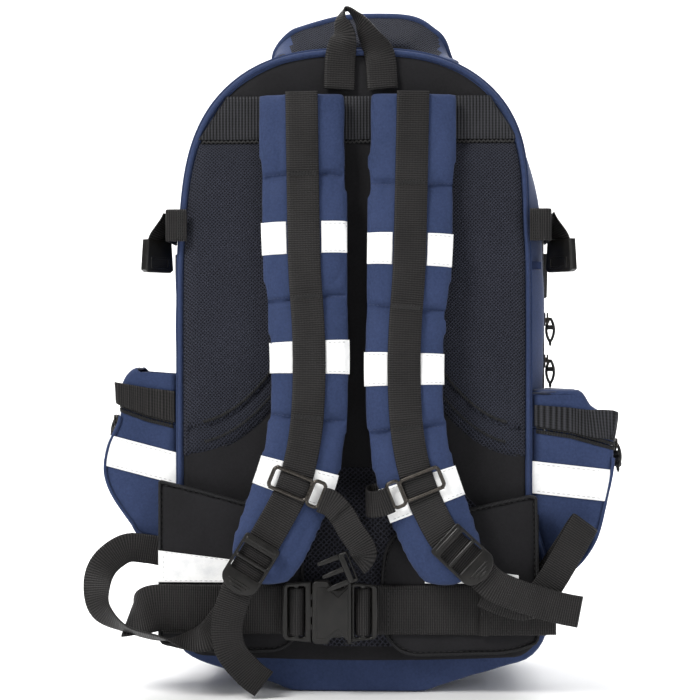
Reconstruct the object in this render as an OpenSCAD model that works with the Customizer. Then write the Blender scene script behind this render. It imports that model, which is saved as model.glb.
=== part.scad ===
// Trauma backpack: clamshell pack with a padded back, harness, hip belt and two side pockets.
// X is across the wearer's back, -Y points at the wearer and +Z is up. The origin is the
// middle of the rear shell's base.

/* [Pack body] */
// Height of the pack from its base to the top of the back panel
body_h = 502; // [440:1:560]
// Half of the pack's width at its middle
body_half_w = 148; // [130:1:165]
// Depth of the rear shell, from the back panel to the main zip
rear_depth = 60; // [54:1:72]
// Depth of the front shell, from the main zip to the front face
front_depth = 100; // [80:1:130]
// Thickness of the padded fabric walls
wall = 2.5; // [2:0.1:4]

/* [Harness] */
// Width of the shoulder and lashing webbing
web_w = 25; // [20:1:30]
// Width of the hip belt webbing
belt_w = 38; // [30:1:50]
// Thickness of all webbing
web_t = 2.2; // [1.6:0.1:2.4]
// Half of the shoulder pad's width
pad_half_w = 32; // [26:1:36]
// Thickness of the shoulder pad
pad_t = 12; // [8:0.5:13]
// Lean of the shoulder straps away from the back panel, in degrees
strap_lean = 4.6; // [4.6:0.1:7]

/* [Side pockets] */
// How far each side pocket stands out from the pack
pocket_out = 50; // [44:1:56]
// Extra height of the left pocket, which sits higher than the right one
left_rise = 18; // [0:1:20]

/* [Hidden] */
$fn = 48;

navy = [0.13, 0.18, 0.34];
black = [0.07, 0.07, 0.08];
mesh_black = [0.12, 0.12, 0.14];
plastic = [0.1, 0.1, 0.11];
metal = [0.45, 0.42, 0.36];
silver = [0.92, 0.92, 0.9];

gap = 0.3;                          // clearance between layers that only touch
y_back = -rear_depth / 2;           // outside of the back wall
y_split = rear_depth / 2;           // plane of the main zip
y_front = y_split + front_depth;    // outside of the front wall
shoulder_z = 300;                   // where the sides start to curve in
dome_power = 2.8;
base_half = 50;                     // half of the flat base's width
base_slope = 16.7;                  // rise of the base towards the sides, in degrees
corner_r = 34;                      // radius between the base and a side

// Half of the outline, from the top middle to the flat base, drawn in by d.
function dome(d, n) = [for (i = [0:n]) let (a = 90 * i / n)
    [(body_half_w - d) * pow(sin(a), 2 / dome_power),
     shoulder_z + (body_h - shoulder_z - d) * pow(cos(a), 2 / dome_power)]];
corner_x = body_half_w - corner_r;
corner_z = (corner_r + (corner_x - base_half) * sin(base_slope)) / cos(base_slope);
function corner(d, n) = [for (i = [0:n]) let (a = -(90 - base_slope) * i / n)
    [corner_x + (corner_r - d) * cos(a), corner_z + (corner_r - d) * sin(a)]];
function half_outline(d) = concat(dome(d, 18), corner(d, 8), [[base_half - d * tan(base_slope / 2), d]]);
function mirrored(points) = [for (i = [len(points) - 1:-1:0]) [-points[i][0], points[i][1]]];

module outline(d = 0) {
    right = half_outline(d);
    left = mirrored(right);
    polygon(concat(right, [for (i = [0:len(left) - 2]) left[i]]));
}

// A flat layer in the XZ plane, t thick, whose face towards the pack is at y.
module layer(y, t) {
    translate([0, y, 0]) rotate([90, 0, 0]) linear_extrude(t) children();
}

module box(low, high) {
    translate(low) cube(high - low);
}

// Webbing along stations of [centre, direction across the webbing].
module ribbon(stations, width, t = web_t) {
    n = len(stations);
    function along(i) = stations[min(i + 1, n - 1)][0] - stations[max(i - 1, 0)][0];
    function unit(v) = v / norm(v);
    function ring(i) = let (
        c = stations[i][0],
        d = unit(along(i)),
        a = unit(stations[i][1] - d * (stations[i][1] * d)) * width / 2,
        k = unit(cross(d, a)) * t / 2)
        [c - a - k, c + a - k, c + a + k, c - a + k];
    points = [for (i = [0:n - 1]) each ring(i)];
    sides = [for (i = [0:n - 2], j = [0:3]) let (
        p = 4 * i + j,
        q = 4 * i + (j + 1) % 4)
        each [[p, p + 4, q], [q, p + 4, q + 4]]];
    e = 4 * (n - 1);
    caps = [[0, 1, 2], [0, 2, 3], [e, e + 2, e + 1], [e, e + 3, e + 2]];
    polyhedron(points, concat(sides, caps));
}

// ---- rear shell, back and inside ----

module rear_shell() {
    color(navy) difference() {
        layer(y_split - gap / 2, rear_depth - gap / 2) outline();
        layer(y_split + 1, rear_depth - wall + 1) outline(wall);
    }
}

panel_t = 1.5;
y_panel = y_back - panel_t;         // front of the black back panel
yoke_z = 466;                       // lower edge of the yoke, where the straps are sewn in
boot_z = 25;                        // the navy boot shows below this height

module back_panel() {
    color(black) layer(y_back, panel_t) intersection() {
        outline(5);
        translate([-200, boot_z]) square([400, body_h]);
    }
}

module yoke_webbing() {
    color(black) layer(y_panel, web_t) intersection() {
        outline(8);
        translate([-200, yoke_z - belt_w + 2]) square([400, belt_w - 4]);
    }
}

module back_piping() {
    color(navy) layer(y_back, 3.6) intersection() {
        difference() {
            outline(0.2);
            outline(4.7);
        }
        translate([-200, corner_z]) square([400, body_h]);
    }
}

back_pad_t = 6.2;
pad_top_z = 424;
pad_low_z = 184;

// Teardrop outline of a back pad, cut by an ellipse along its lower edge.
module back_pad_shape() {
    intersection() {
        outline(7);
        translate([10, pad_low_z]) square([200, pad_top_z - pad_low_z]);
        union() {
            translate([139, 406]) scale([129 / 222, 1]) circle(r = 222);
            translate([10, 406]) square([140, 20]);
        }
    }
}

module back_pad(side) {
    color(mesh_black) mirror([side < 0 ? 1 : 0, 0, 0]) layer(y_panel, back_pad_t) back_pad_shape();
}

lumbar_z = 105;
lumbar_half = [105, 74];

module lumbar_pad() {
    color(mesh_black) layer(y_panel, back_pad_t + 1) intersection() {
        translate([0, lumbar_z]) scale([lumbar_half[0] / lumbar_half[1], 1]) circle(r = lumbar_half[1]);
        translate([-200, boot_z + 8]) square([400, body_h]);
    }
}

sheet_t = 1.8;

module frame_sheet() {
    color("dimgray") layer(y_back + wall + gap + sheet_t, sheet_t) intersection() {
        outline(16);
        translate([-118, 30]) square([236, 440]);
    }
}

divider_t = 6;
divider_z = [180, 330];

module compartment_dividers() {
    y_low = y_back + wall + gap + sheet_t + 1;
    color("slategray") for (z = divider_z)
        box([-body_half_w + wall + 2.5, y_low, z], [body_half_w - wall - 2.5, y_split - 3, z + divider_t]);
}

// ---- main zip ----

zip_low_z = 62;                     // where the lid meets the boot
tape_w = 8;
tape_t = 1;

// A band around the outside of the shell, between the two planes y0 and y1.
module zip_band(y0, y1) {
    color(black) layer(y1, y1 - y0) intersection() {
        difference() {
            outline(-tape_t - gap);
            outline(-gap);
        }
        translate([-200, zip_low_z + gap]) square([400, body_h]);
    }
}

// A strip of zip tape along each side, where the lid meets the boot.
module side_band(z) {
    x = body_half_w + gap;
    color(black) for (s = [0, 1])
        mirror([s, 0, 0]) box([x, y_split + gap, z], [x + tape_t, round_y - 6, z + tape_w]);
}

module main_zip_rear() {
    zip_band(y_split - gap / 2 - tape_w, y_split - gap / 2);
    side_band(zip_low_z - gap - tape_w);
}

module main_zip_front() {
    zip_band(y_split + gap / 2, y_split + gap / 2 + tape_w);
    side_band(zip_low_z + gap);
}

// The zip sliders stand on the right side of the pack, where both zip halves meet.
slider_x = body_half_w + gap + tape_t + gap;
slider_z = [292, 258];
slider_size = [4, 9, 11];
pull_len = 24;

module slider_body() {
    box([0, -slider_size[1] / 2, -slider_size[2] / 2],
        [slider_size[0], slider_size[1] / 2, slider_size[2] / 2]);
    for (y = [-3, 1.8]) box([slider_size[0] - 0.5, y, -2.5], [slider_size[0] + 3.2, y + 1.2, 2.5]);
}

// A cord pull: a ring at the top, a bar between the slider's ears, and a moulded grip.
module pull_body() {
    box([-0.8, -1.4, -7], [0.8, 1.4, 0.8]);
    translate([0, 0, -pull_len / 2 - 2]) rotate([90, 0, 0]) linear_extrude(3, center = true) difference() {
        scale([0.42, 1]) circle(d = pull_len - 6);
        scale([0.42, 1]) circle(d = pull_len - 13);
    }
}

module main_slider(k) {
    color(plastic) translate([slider_x, y_split, slider_z[k]]) slider_body();
}

module main_pull(k) {
    color(plastic) translate([slider_x + 6, y_split, slider_z[k]]) pull_body();
}

// ---- hip belt ----

wing_t = 8;
y_wing = y_panel - back_pad_t - 1 - gap;    // back of the wings, clear of the lumbar pad
y_wing_face = y_wing - wing_t;
belt_z = 67;                        // centre line of the belt webbing
y_web = y_wing_face - 0.2;          // back of the sewn belt webbing
y_tail = y_web - web_t - 0.4;       // back of the belt's free end
buckle_x = [-57, -35, -4, 16];      // plug bar end, mouth, end of the chamber, socket bar end
buckle_t = 12;
buckle_h = belt_w + 10;
y_buckle = y_tail - web_t - 0.5;

wing_tab = [130, 140];              // where a wing is sewn to the back panel

module wing_root() {
    box([wing_tab[0], y_wing - 0.1, 52], [wing_tab[1], y_panel, 140]);
}

module belt_wing_left() {
    color(black) union() {
        layer(y_wing, wing_t) polygon([
            [-154, 166], [-88, 149], [-58, 140], [-45, 125], [-42, 100], [-42, 62], [-48, 44], [-62, 34],
            [-110, 33], [-154, 40]]);
        mirror([1, 0, 0]) wing_root();
    }
}

module belt_wing_right() {
    color(black) union() {
        layer(y_wing, wing_t) polygon([
            [138, 156], [88, 145], [48, 136], [26, 122], [19, 100], [18, 62], [24, 42], [42, 31],
            [110, 33], [140, 42]]);
        wing_root();
    }
}

module webbing_run(x0, x1, y, width) {
    box([x0, y - web_t, belt_z - width / 2], [x1, y, belt_z + width / 2]);
}

// Both sewn halves, and the free end that is folded back over the right one.
module belt_webbing() {
    color(black) {
        webbing_run(-150, buckle_x[0] + 14, y_web, belt_w);
        webbing_run(buckle_x[3] - 12, 145, y_web, belt_w);
        webbing_run(96, 152, y_tail, belt_w - 3);
    }
}

module belt_tail() {
    color(black) webbing_run(-178, buckle_x[0] + 12, y_tail, belt_w - 2);
}

chamber_half = belt_w / 2 + 1;      // half height of the space that takes the prongs
chamber_t = 6;                      // its depth through the buckle
y_chamber = y_buckle - (buckle_t - chamber_t) / 2;
notch_x = [-22, -6];

// A bar frame for webbing: a plate with two slots.
module bar_frame(x0, x1) {
    slot = (x1 - x0 - 9) / 2;
    layer(y_buckle - 3, 5) difference() {
        translate([x0, belt_z - buckle_h / 2]) square([x1 - x0, buckle_h]);
        for (x = [x0 + 3, x0 + 6 + slot])
            translate([x, belt_z - belt_w / 2 - 1]) square([slot, belt_w + 2]);
    }
}

module belt_buckle_socket() {
    color(plastic) union() {
        difference() {
            layer(y_buckle, buckle_t)
                translate([buckle_x[1], belt_z - buckle_h / 2]) square([buckle_x[2] - buckle_x[1], buckle_h]);
            layer(y_chamber, chamber_t)
                translate([buckle_x[1] - 1, belt_z - chamber_half])
                    square([buckle_x[2] - buckle_x[1] - 2, 2 * chamber_half]);
            for (s = [-1, 1])
                layer(y_buckle + 1, buckle_t + 2)
                    translate([(notch_x[0] + notch_x[1]) / 2, belt_z + s * (buckle_h / 2 + 1.2)])
                        circle(d = notch_x[1] - notch_x[0]);
        }
        bar_frame(buckle_x[2] - 0.1, buckle_x[3]);
    }
}

module belt_buckle_plug() {
    color(plastic) union() {
        bar_frame(buckle_x[0], buckle_x[1] - 0.4);
        layer(y_chamber - 0.6, chamber_t - 1.2)
            translate([buckle_x[1] - 1, belt_z - 4]) square([24, 8]);
    }
}

prong_root = [buckle_x[1] + 0.6, 13];   // the prong's bend, measured from the belt's centre line

// The springy arm with its thumb pad, which shows in the socket's side notch.
module plug_prong(side) {
    color(plastic) layer(y_chamber - 0.5, chamber_t - 1)
        translate([0, belt_z]) scale([1, side])
            polygon([
                [prong_root[0], prong_root[1] - 2], [prong_root[0], prong_root[1] + 2], [-24, 16.5],
                [-20, chamber_half - 0.5], [-10, chamber_half - 0.5], [-8, 14], [-14, 12.5], [-24, 12]]);
}

// ---- reflective tape on the belt and the pockets ----

refl_w = 25;
refl_t = 0.7;
pocket_y = [y_back + 2, y_back + 50];
pocket_x = body_half_w + 1.2;
pocket_low_z = 88;
zip_z = 199;                        // where a pocket's zip meets its lid
pocket_top_z = 236;

module tape_on_pocket() {
    z = 164;
    x_out = pocket_x + pocket_out;
    y = pocket_y[0] - gap;
    box([pocket_x + 1, y - refl_t, z - refl_w / 2], [x_out - 5, y, z + refl_w / 2]);
}

module reflective_tapes() {
    y = y_wing_face - 0.1;
    color(silver) layer(y, refl_t) polygon([[-154, 112], [-88, 104], [-75, 96], [-80, 87.5], [-154, 87.5]]);
    color(silver) layer(y, refl_t) polygon([[52, 87.5], [52, 94], [85, 98], [124, 94], [124, 87.5]]);
    color(silver) tape_on_pocket();
    color(silver) translate([0, 0, left_rise]) mirror([1, 0, 0]) tape_on_pocket();
}

// ---- side pockets: drawn on the right, mirrored for the left ----

// Profile across the pack of a pocket and its lid, drawn in by d.
module pocket_profile(d) {
    x_out = pocket_x + pocket_out - d;
    polygon([
        [pocket_x + d, pocket_low_z + d], [x_out - 30, 97 + d], [x_out - 14, 118 + d], [x_out - 6, 146],
        [x_out, 180], [x_out, 214 - d], [x_out - 4, 219 - d], [x_out - 17, 225 - d],
        [x_out - 27, pocket_top_z - d], [pocket_x + d, pocket_top_z - d]]);
}

module pocket_solid(d) {
    layer(pocket_y[1] - d, pocket_y[1] - pocket_y[0] - 2 * d) pocket_profile(d);
}

module placed(side) {
    if (side > 0) children();
    else translate([0, 0, left_rise]) mirror([1, 0, 0]) children();
}

module pocket(side) {
    color(navy) placed(side) intersection() {
        difference() {
            pocket_solid(0);
            pocket_solid(2);
        }
        box([0, -100, 0], [400, 100, zip_z - gap]);
    }
}

module pocket_lid(side) {
    color(navy) placed(side) intersection() {
        difference() {
            pocket_solid(0);
            pocket_solid(2);
        }
        box([0, -100, zip_z + gap], [400, 100, 400]);
    }
}

band_z = [zip_z + 2.5, 223];

module pocket_band(side) {
    x_out = pocket_x + pocket_out;
    color(black) placed(side) layer(pocket_y[0] - gap, web_t) polygon([
        [pocket_x + 2, band_z[0] + 5], [x_out, band_z[0]], [x_out, band_z[1] - 6],
        [pocket_x + 2, band_z[1]]]);
}

module pocket_slider(side) {
    color(plastic) placed(side) {
        translate([pocket_x + pocket_out + gap, pocket_y[0] + 12, zip_z - 4.5]) union() {
            box([0, -5.5, -3.5], [3.4, 5.5, 3.5]);
            box([3.3, -1.2, -18], [5, 1.2, 2]);
            box([3.3, -4, -24], [5.6, 4, -12]);
        }
    }
}

// ---- side compression straps, unclipped ----

comp_z = 364;                       // middle of the rear shell's webbing loops
comp_x = body_half_w - 2;
comp_y = y_back + 12;               // middle of the hanging sockets
plug_y = y_split + 26;              // middle of the lid's hanging plugs
comp_t = 7;

module both_sides() {
    children();
    mirror([1, 0, 0]) children();
}

module compression_anchors() {
    y = y_panel - back_pad_t - gap;
    color(black) both_sides() union() {
        box([comp_x - 13, y - web_t, comp_z - web_w / 2], [comp_x + 4, y, comp_z + web_w / 2]);
        box([comp_x + 2, y - 0.1, comp_z - web_w / 2], [comp_x + 4, y_split - 12, comp_z + web_w / 2]);
    }
}

// A tapered buckle half hanging from its webbing, with its mouth down.
module hanging_buckle(y) {
    translate([comp_x + 4 + gap, y, comp_z]) union() {
        difference() {
            rotate([90, 0, 90]) linear_extrude(comp_t)
                polygon([[-15, -10], [15, -10], [13, -36], [-13, -36]]);
            translate([comp_t / 2 - 1.6, -10, -36.1]) cube([3.2, 20, 20]);
        }
        box([2.4, -web_w / 2, -10.1], [4.6, web_w / 2, 10]);
    }
}

module compression_socket(side) {
    color(plastic) mirror([side < 0 ? 1 : 0, 0, 0]) hanging_buckle(comp_y);
}

// The lid's halves, sewn to its sides.
module compression_plugs() {
    color(plastic) both_sides() translate([-1.7, 0, 0]) union() {
        box([comp_x + 4, plug_y - web_w / 2, comp_z - 40], [comp_x + 6.2, plug_y + web_w / 2, comp_z + 8]);
        box([comp_x + 4, plug_y - 15, comp_z - 52], [comp_x + 10, plug_y + 15, comp_z - 39.9]);
        for (y = [-10, 10])
            box([comp_x + 4.6, plug_y + y - 2.5, comp_z - 72], [comp_x + 9, plug_y + y + 2.5, comp_z - 51.9]);
    }
}

// ---- haul loop ----

loop_z = 470;

module haul_loop() {
    y = y_panel - 3.1;
    flat = [1, 0, 0];
    color(black) ribbon([
        [[-14.5, y, loop_z], flat], [[-13, y, loop_z + 24], flat],
        [[-10, y - 8, loop_z + 42], [0.8, -0.6, 0]],
        [[-8, y - 5, loop_z + 52], [0.4, -0.92, 0]], [[-3, y - 5, loop_z + 58], [0.1, -0.99, 0]],
        [[4, y - 5, loop_z + 53], [0.4, -0.92, 0]], [[9, y - 8, loop_z + 42], [0.8, -0.6, 0]],
        [[17, y, loop_z + 24], flat], [[19.5, y, loop_z], flat]], web_w * 0.86, web_t);
}

// ---- shoulder straps: drawn flat, then leant and mirrored ----

strap_top_z = 465;
y_strap = y_back - 6;               // back of a pad at its top
strap_path = [[43, strap_top_z], [41.5, 390], [40, 330], [37, 285], [36, 250], [37.5, 212], [42, 182],
    [50, 156], [61, 128], [71, 106], [79, 90]];
// Half of the pad's width at each station, narrowing in the middle.
pad_widths = [34, 34, 33, 31.5, 31, 31, 31, 31, 30, 27, 17];

function tangent(p, i) = let (v = p[min(i + 1, len(p) - 1)] - p[max(i - 1, 0)]) v / norm(v);
function edge(p, w, s) = [for (i = [0:len(p) - 1]) let (t = tangent(p, i)) p[i] + s * w[i] * [-t[1], t[0]]];
function reversed(p) = [for (i = [len(p) - 1:-1:0]) p[i]];

module band_shape(p, w) {
    polygon(concat(edge(p, w, 1), reversed(edge(p, w, -1))));
}

// Puts flat work at its place on a strap: z = 0 is the pad's back, +Z points at the wearer.
module on_strap(side) {
    mirror([side < 0 ? 1 : 0, 0, 0])
        translate([0, y_strap, strap_top_z]) rotate([90 - strap_lean, 0, 0]) translate([0, -strap_top_z, 0])
            children();
}

module strap_pad(side) {
    color(navy) on_strap(side) linear_extrude(pad_t) band_shape(strap_path, pad_widths);
}

lock_pos = [[78, 106], [78, 113]];      // left, right
lock_turn = [31, 47];                   // from straight down, outwards
function which(side) = side < 0 ? 0 : 1;
function lock_dir(side) = [sin(lock_turn[which(side)]), -cos(lock_turn[which(side)])];
function web_path(side) =
    concat([for (i = [0:7]) strap_path[i]], [lock_pos[which(side)] - 15 * lock_dir(side)]);
web_back = pad_t + gap;                 // back of the strap's webbing
web_front = web_back + web_t;

module strap_webbing(side) {
    path = web_path(side);
    color(black) on_strap(side) translate([0, 0, web_back])
        linear_extrude(web_t) band_shape(path, [for (p = path) web_w / 2]);
}

tape_at = [[349, 0], [257, 0], [163, -22]];     // height and turn of each reflective patch

module strap_tapes(side) {
    path = web_path(side);
    color(silver) on_strap(side) translate([0, 0, pad_t + 0.05]) linear_extrude(refl_t) difference() {
        intersection() {
            band_shape(strap_path, pad_widths);
            union() {
                for (t = tape_at)
                    translate([45, t[0] + (side < 0 ? 3 : -6)]) rotate(-t[1])
                        square([110, refl_w], center = true);
            }
        }
        band_shape(path, [for (p = path) web_w / 2 + 0.4]);
    }
}

module at_lock(side) {
    on_strap(side) translate([lock_pos[which(side)][0], lock_pos[which(side)][1], web_front + gap])
        rotate(lock_turn[which(side)]) children();
}

lock_w = web_w + 5;
lock_l = 34;

// Drawn with the webbing running along -Y and the thumb tongue at the lower end.
module ladder_lock(side) {
    color(plastic) at_lock(side) {
        linear_extrude(4.4) difference() {
            union() {
                translate([-lock_w / 2, -lock_l / 2]) square([lock_w, lock_l]);
                translate([0, -lock_l / 2]) scale([1, 0.62]) circle(d = lock_w);
            }
            for (y = [-11, 0.4]) translate([-web_w / 2 - 0.8, y]) square([web_w + 1.6, 8.6]);
        }
    }
}

function lean(side, p) = [
    side * p[0], y_strap - (strap_top_z - p[1]) * sin(strap_lean) - p[2] * cos(strap_lean),
    strap_top_z - (strap_top_z - p[1]) * cos(strap_lean) + p[2] * sin(strap_lean)];

tail_t = 1.6;

function tail_start(side) = lean(side, concat(lock_pos[which(side)] + 15 * lock_dir(side), web_back + 1.1));

module strap_tail_left() {
    color(black) ribbon([
        [tail_start(-1), [0.86, -0.04, -0.51]],
        [[-92, -79.5, 80], [0.93, -0.03, -0.35]], [[-97, -75, 64], [0.98, 0, -0.2]],
        [[-98, -71, 50], [1, 0, 0]], [[-94, -68, 36], [0.96, 0, 0.27]], [[-81, -64, 20], [0.86, 0, 0.5]],
        [[-71, -61, 12], [0.8, 0, 0.6]]], web_w, tail_t);
}

module strap_tail_right() {
    color(black) ribbon([
        [tail_start(1), [0.55, 0.07, 0.83]],
        [[102, -79.5, 92], [0.5, 0.07, 0.87]], [[118, -76, 84], [0.42, 0, 0.9]],
        [[137, -69, 77], [0.35, 0, 0.94]], [[154, -67, 72], [0.28, 0, 0.96]],
        [[169, -66, 69], [0.2, 0, 0.98]]],
        web_w, tail_t);
}

// The load webbing from each lock back to the pack's lower corner, slack in a loose loop.
module lower_strap_left() {
    color(black) ribbon([
        [[-91, -69, 76], [0.86, 0, -0.51]], [[-102, -65, 62], [0.75, 0, -0.66]],
        [[-112, -63, 50], [0.55, -0.2, -0.8]], [[-128, -62.5, 45], [0.3, -0.8, -0.5]],
        [[-150, -64, 47], [0.1, -0.95, 0.3]], [[-176, -64, 54], [0.2, -0.9, 0.35]],
        [[-196, -62, 68], [0.7, -0.5, 0.5]], [[-200, -57, 86], [0.95, -0.2, 0.1]],
        [[-195, -51, 102], [0.85, 0, -0.5]], [[-180, -44, 113], [0.5, 0, -0.86]],
        [[-164, -38, 112], [0.1, 0, -1]], [[-149, -35.6, 109], [0, 0, -1]]], web_w * 0.9, tail_t);
}

module lower_strap_right() {
    color(black) ribbon([
        [[96, -71, 84], [0.6, 0, 0.8]], [[114, -66, 76], [0.4, 0, 0.9]], [[131, -63, 74], [0.05, 0, 1]],
        [[144, -60, 86], [-0.5, 0, 0.86]], [[157, -57, 106], [-0.75, 0, 0.66]],
        [[169, -53, 126], [-0.8, 0, 0.6]],
        [[175, -48, 135], [-0.8, 0, 0.6]], [[172, -43, 131], [-0.8, 0, 0.6]],
        [[162, -38.5, 114], [-0.75, 0, 0.66]],
        [[149, -35.6, 94], [-0.6, 0, 0.8]]], web_w * 0.9, tail_t);
}

// ---- sternum strap: a wire ring on each shoulder strap, with half of the strap on it ----

ring_pos = [49.5, 164];
ring_turn = 22;

module on_ring(side) {
    on_strap(side) translate([ring_pos[0], ring_pos[1], web_front + gap]) rotate(ring_turn) children();
}

// A wire slider round the webbing, with an eye at its inner end for the sternum webbing.
module sternum_ring(side) {
    color(metal) on_ring(side) linear_extrude(2.6) difference() {
        union() {
            square([34, 19], center = true);
            translate([-21, 0]) square([12, 22], center = true);
        }
        square([28.8, 13.8], center = true);
        translate([-21, 0]) square([6.8, 16.8], center = true);
    }
}

module sternum_webbing_left() {
    y = lean(-1, [0, 160, web_front])[1];
    color(black) ribbon([
        [[-23.4, y - 1.6, 153.4], [0.375, 0, 0.927]], [[-18.8, y - 1.6, 151.5], [0.42, 0, 0.9]],
        [[-11, y - 1.4, 143], [0.68, 0, 0.73]], [[-4, y - 1, 131], [0.74, 0, 0.67]],
        [[4, y, 119], [0.75, 0, 0.66]], [[6, y + 3, 111], [0.8, 0, 0.5]],
        [[0, y + 5.5, 105.5], [0.45, 0, -0.9]]], 20, tail_t);
}

module sternum_webbing_right() {
    y = lean(1, [0, 164, web_front])[1];
    up = [0, 0, 1];
    color(black) ribbon([
        [[23.2, y - 1.6, 153.4], [-0.375, 0, 0.927]], [[18.6, y - 1.6, 151.6], [-0.36, 0, 0.93]],
        [[12, y - 0.5, 150.6], up], [[8, y + 5, 151], up],
        [[8, y + 17, 153], up], [[12, y + 22.6, 154], up],
        [[21, y + 23, 155], up], [[34, y + 23, 156], up]], 20, tail_t);
}

module sternum_plug() {
    y = lean(-1, [0, 160, web_front])[1] + 5.5;
    color(plastic) translate([-1.5, y, 104.5]) rotate([0, 68, 0]) union() {
        box([-12, -2.6, -9], [12, 2.6, -1.5]);
        for (x = [-12, -2, 8]) box([x, -2.6, -26], [x + 4, 2.6, -8.9]);
    }
}

module sternum_socket() {
    y = lean(1, [0, 164, web_front])[1] + 23;
    color(plastic) translate([34.9, y, 156]) difference() {
        box([0, -3.4, -13], [27, 3.4, 13]);
        box([9, -1.8, -10], [28, 1.8, 10]);
    }
}

// ---- front: boot, lid, front pocket and padded handle ----

front_draft = 22;                   // how much the front face is drawn in
round_y = y_front - 28;             // where the front's rounding starts
y_fold = y_front + gap;             // fold line of the lid, along the boot's front

module front_block(d) {
    hull() {
        layer(round_y, 1) outline(d);
        layer(y_front - 9 - d / 2, 1) outline(front_draft * 0.3 + d);
        layer(y_front - d, 1) outline(front_draft + d);
    }
}

// The front of the pack, hollow and open towards the rear shell, kept between two heights.
module front_part(z0, z1) {
    color(navy) intersection() {
        difference() {
            union() {
                layer(round_y, round_y - y_split - gap / 2) outline();
                front_block(0);
            }
            union() {
                layer(round_y, round_y - y_split + 1) outline(wall);
                front_block(wall);
            }
        }
        box([-200, 0, z0], [200, 200, z1]);
    }
}

module boot() {
    front_part(-1, zip_low_z - gap);
}

module front_shell() {
    front_part(zip_low_z + gap, body_h + 10);
}

fp_x = 96;
fp_z = [70, 262];
fp_t = 28;

module pocket_plate(d) {
    translate([-fp_x + d, fp_z[0] + d]) square([2 * (fp_x - d), fp_z[1] - fp_z[0] - 2 * d]);
}

module front_pocket() {
    y = y_front + fp_t;
    color(navy) difference() {
        layer(y, fp_t) pocket_plate(0);
        layer(y - wall, fp_t - 2 * wall) pocket_plate(wall);
        layer(y - 6, 7) translate([-fp_x + 12, fp_z[1] - 6]) square([2 * fp_x - 24, 10]);
    }
}

module front_slider() {
    color(plastic) translate([0, y_front + fp_t - 9.5, fp_z[1] + gap]) union() {
        box([60, -6, 0], [71, 6, 3.4]);
        box([66, -1.2, 3.3], [86, 1.2, 5]);
        box([76, -4, 3.3], [90, 4, 5.6]);
    }
}

handle_half = 74;
handle_w = 36;
handle_t = 8;
handle_y = -2;
handle_tilt = 36;                   // the handle's lower face turns this far towards the wearer
handle_rise = 25;                   // crown above its feet

function dome_z(x) = shoulder_z
    + (body_h - shoulder_z) * pow(1 - pow(abs(x) / body_half_w, dome_power), 1 / dome_power);

// A padded grab handle that stands over the top of the rear shell.
module top_handle() {
    n = 16;
    foot_z = dome_z(handle_half - handle_t / 2) + 1.5;
    color(navy) ribbon([for (i = [0:n]) let (
        a = 180 * i / n,
        tilt = handle_tilt * pow(sin(a), 0.6))
        [[-handle_half * cos(a), handle_y, foot_z + handle_rise * pow(sin(a), 0.8)],
         [0, cos(tilt), sin(tilt)]]], handle_w, handle_t);
}

rear_shell();
back_panel();
yoke_webbing();
back_pad(-1);  // back_pad_left
back_pad(1);  // back_pad_right
lumbar_pad();
back_piping();
frame_sheet();
compartment_dividers();
main_zip_rear();
main_zip_front();
belt_wing_left();
belt_wing_right();
reflective_tapes();
belt_webbing();
belt_buckle_socket();
belt_buckle_plug();
belt_tail();
plug_prong(1);  // plug_prong_upper
plug_prong(-1);  // plug_prong_lower
lower_strap_left();
lower_strap_right();
pocket(-1);  // pocket_left
pocket(1);  // pocket_right
pocket_lid(-1);  // pocket_lid_left
pocket_lid(1);  // pocket_lid_right
pocket_band(-1);  // pocket_band_left
pocket_band(1);  // pocket_band_right
pocket_slider(-1);  // pocket_slider_left
pocket_slider(1);  // pocket_slider_right
compression_anchors();
compression_socket(-1);  // compression_socket_left
compression_socket(1);  // compression_socket_right
haul_loop();
strap_pad(-1);  // strap_pad_left
strap_pad(1);  // strap_pad_right
strap_webbing(-1);  // strap_webbing_left
strap_webbing(1);  // strap_webbing_right
strap_tapes(-1);  // strap_tapes_left
strap_tapes(1);  // strap_tapes_right
strap_tail_left();
strap_tail_right();
ladder_lock(-1);  // ladder_lock_left
ladder_lock(1);  // ladder_lock_right
sternum_ring(-1);  // sternum_ring_left
sternum_ring(1);  // sternum_ring_right
sternum_webbing_left();
sternum_webbing_right();
sternum_plug();
sternum_socket();
boot();
front_shell();
front_pocket();
top_handle();
compression_plugs();
main_slider(0);  // main_slider_upper
main_slider(1);  // main_slider_lower
main_pull(0);  // main_pull_upper
main_pull(1);  // main_pull_lower
front_slider();
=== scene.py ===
"""The looks of the trauma backpack: fabric shells, foam pads, webbing, buckles, zips and tape."""
import math

import bmesh
import bpy
import numpy as np
from mathutils import Matrix, Vector, noise
from mathutils.bvhtree import BVHTree


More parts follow.
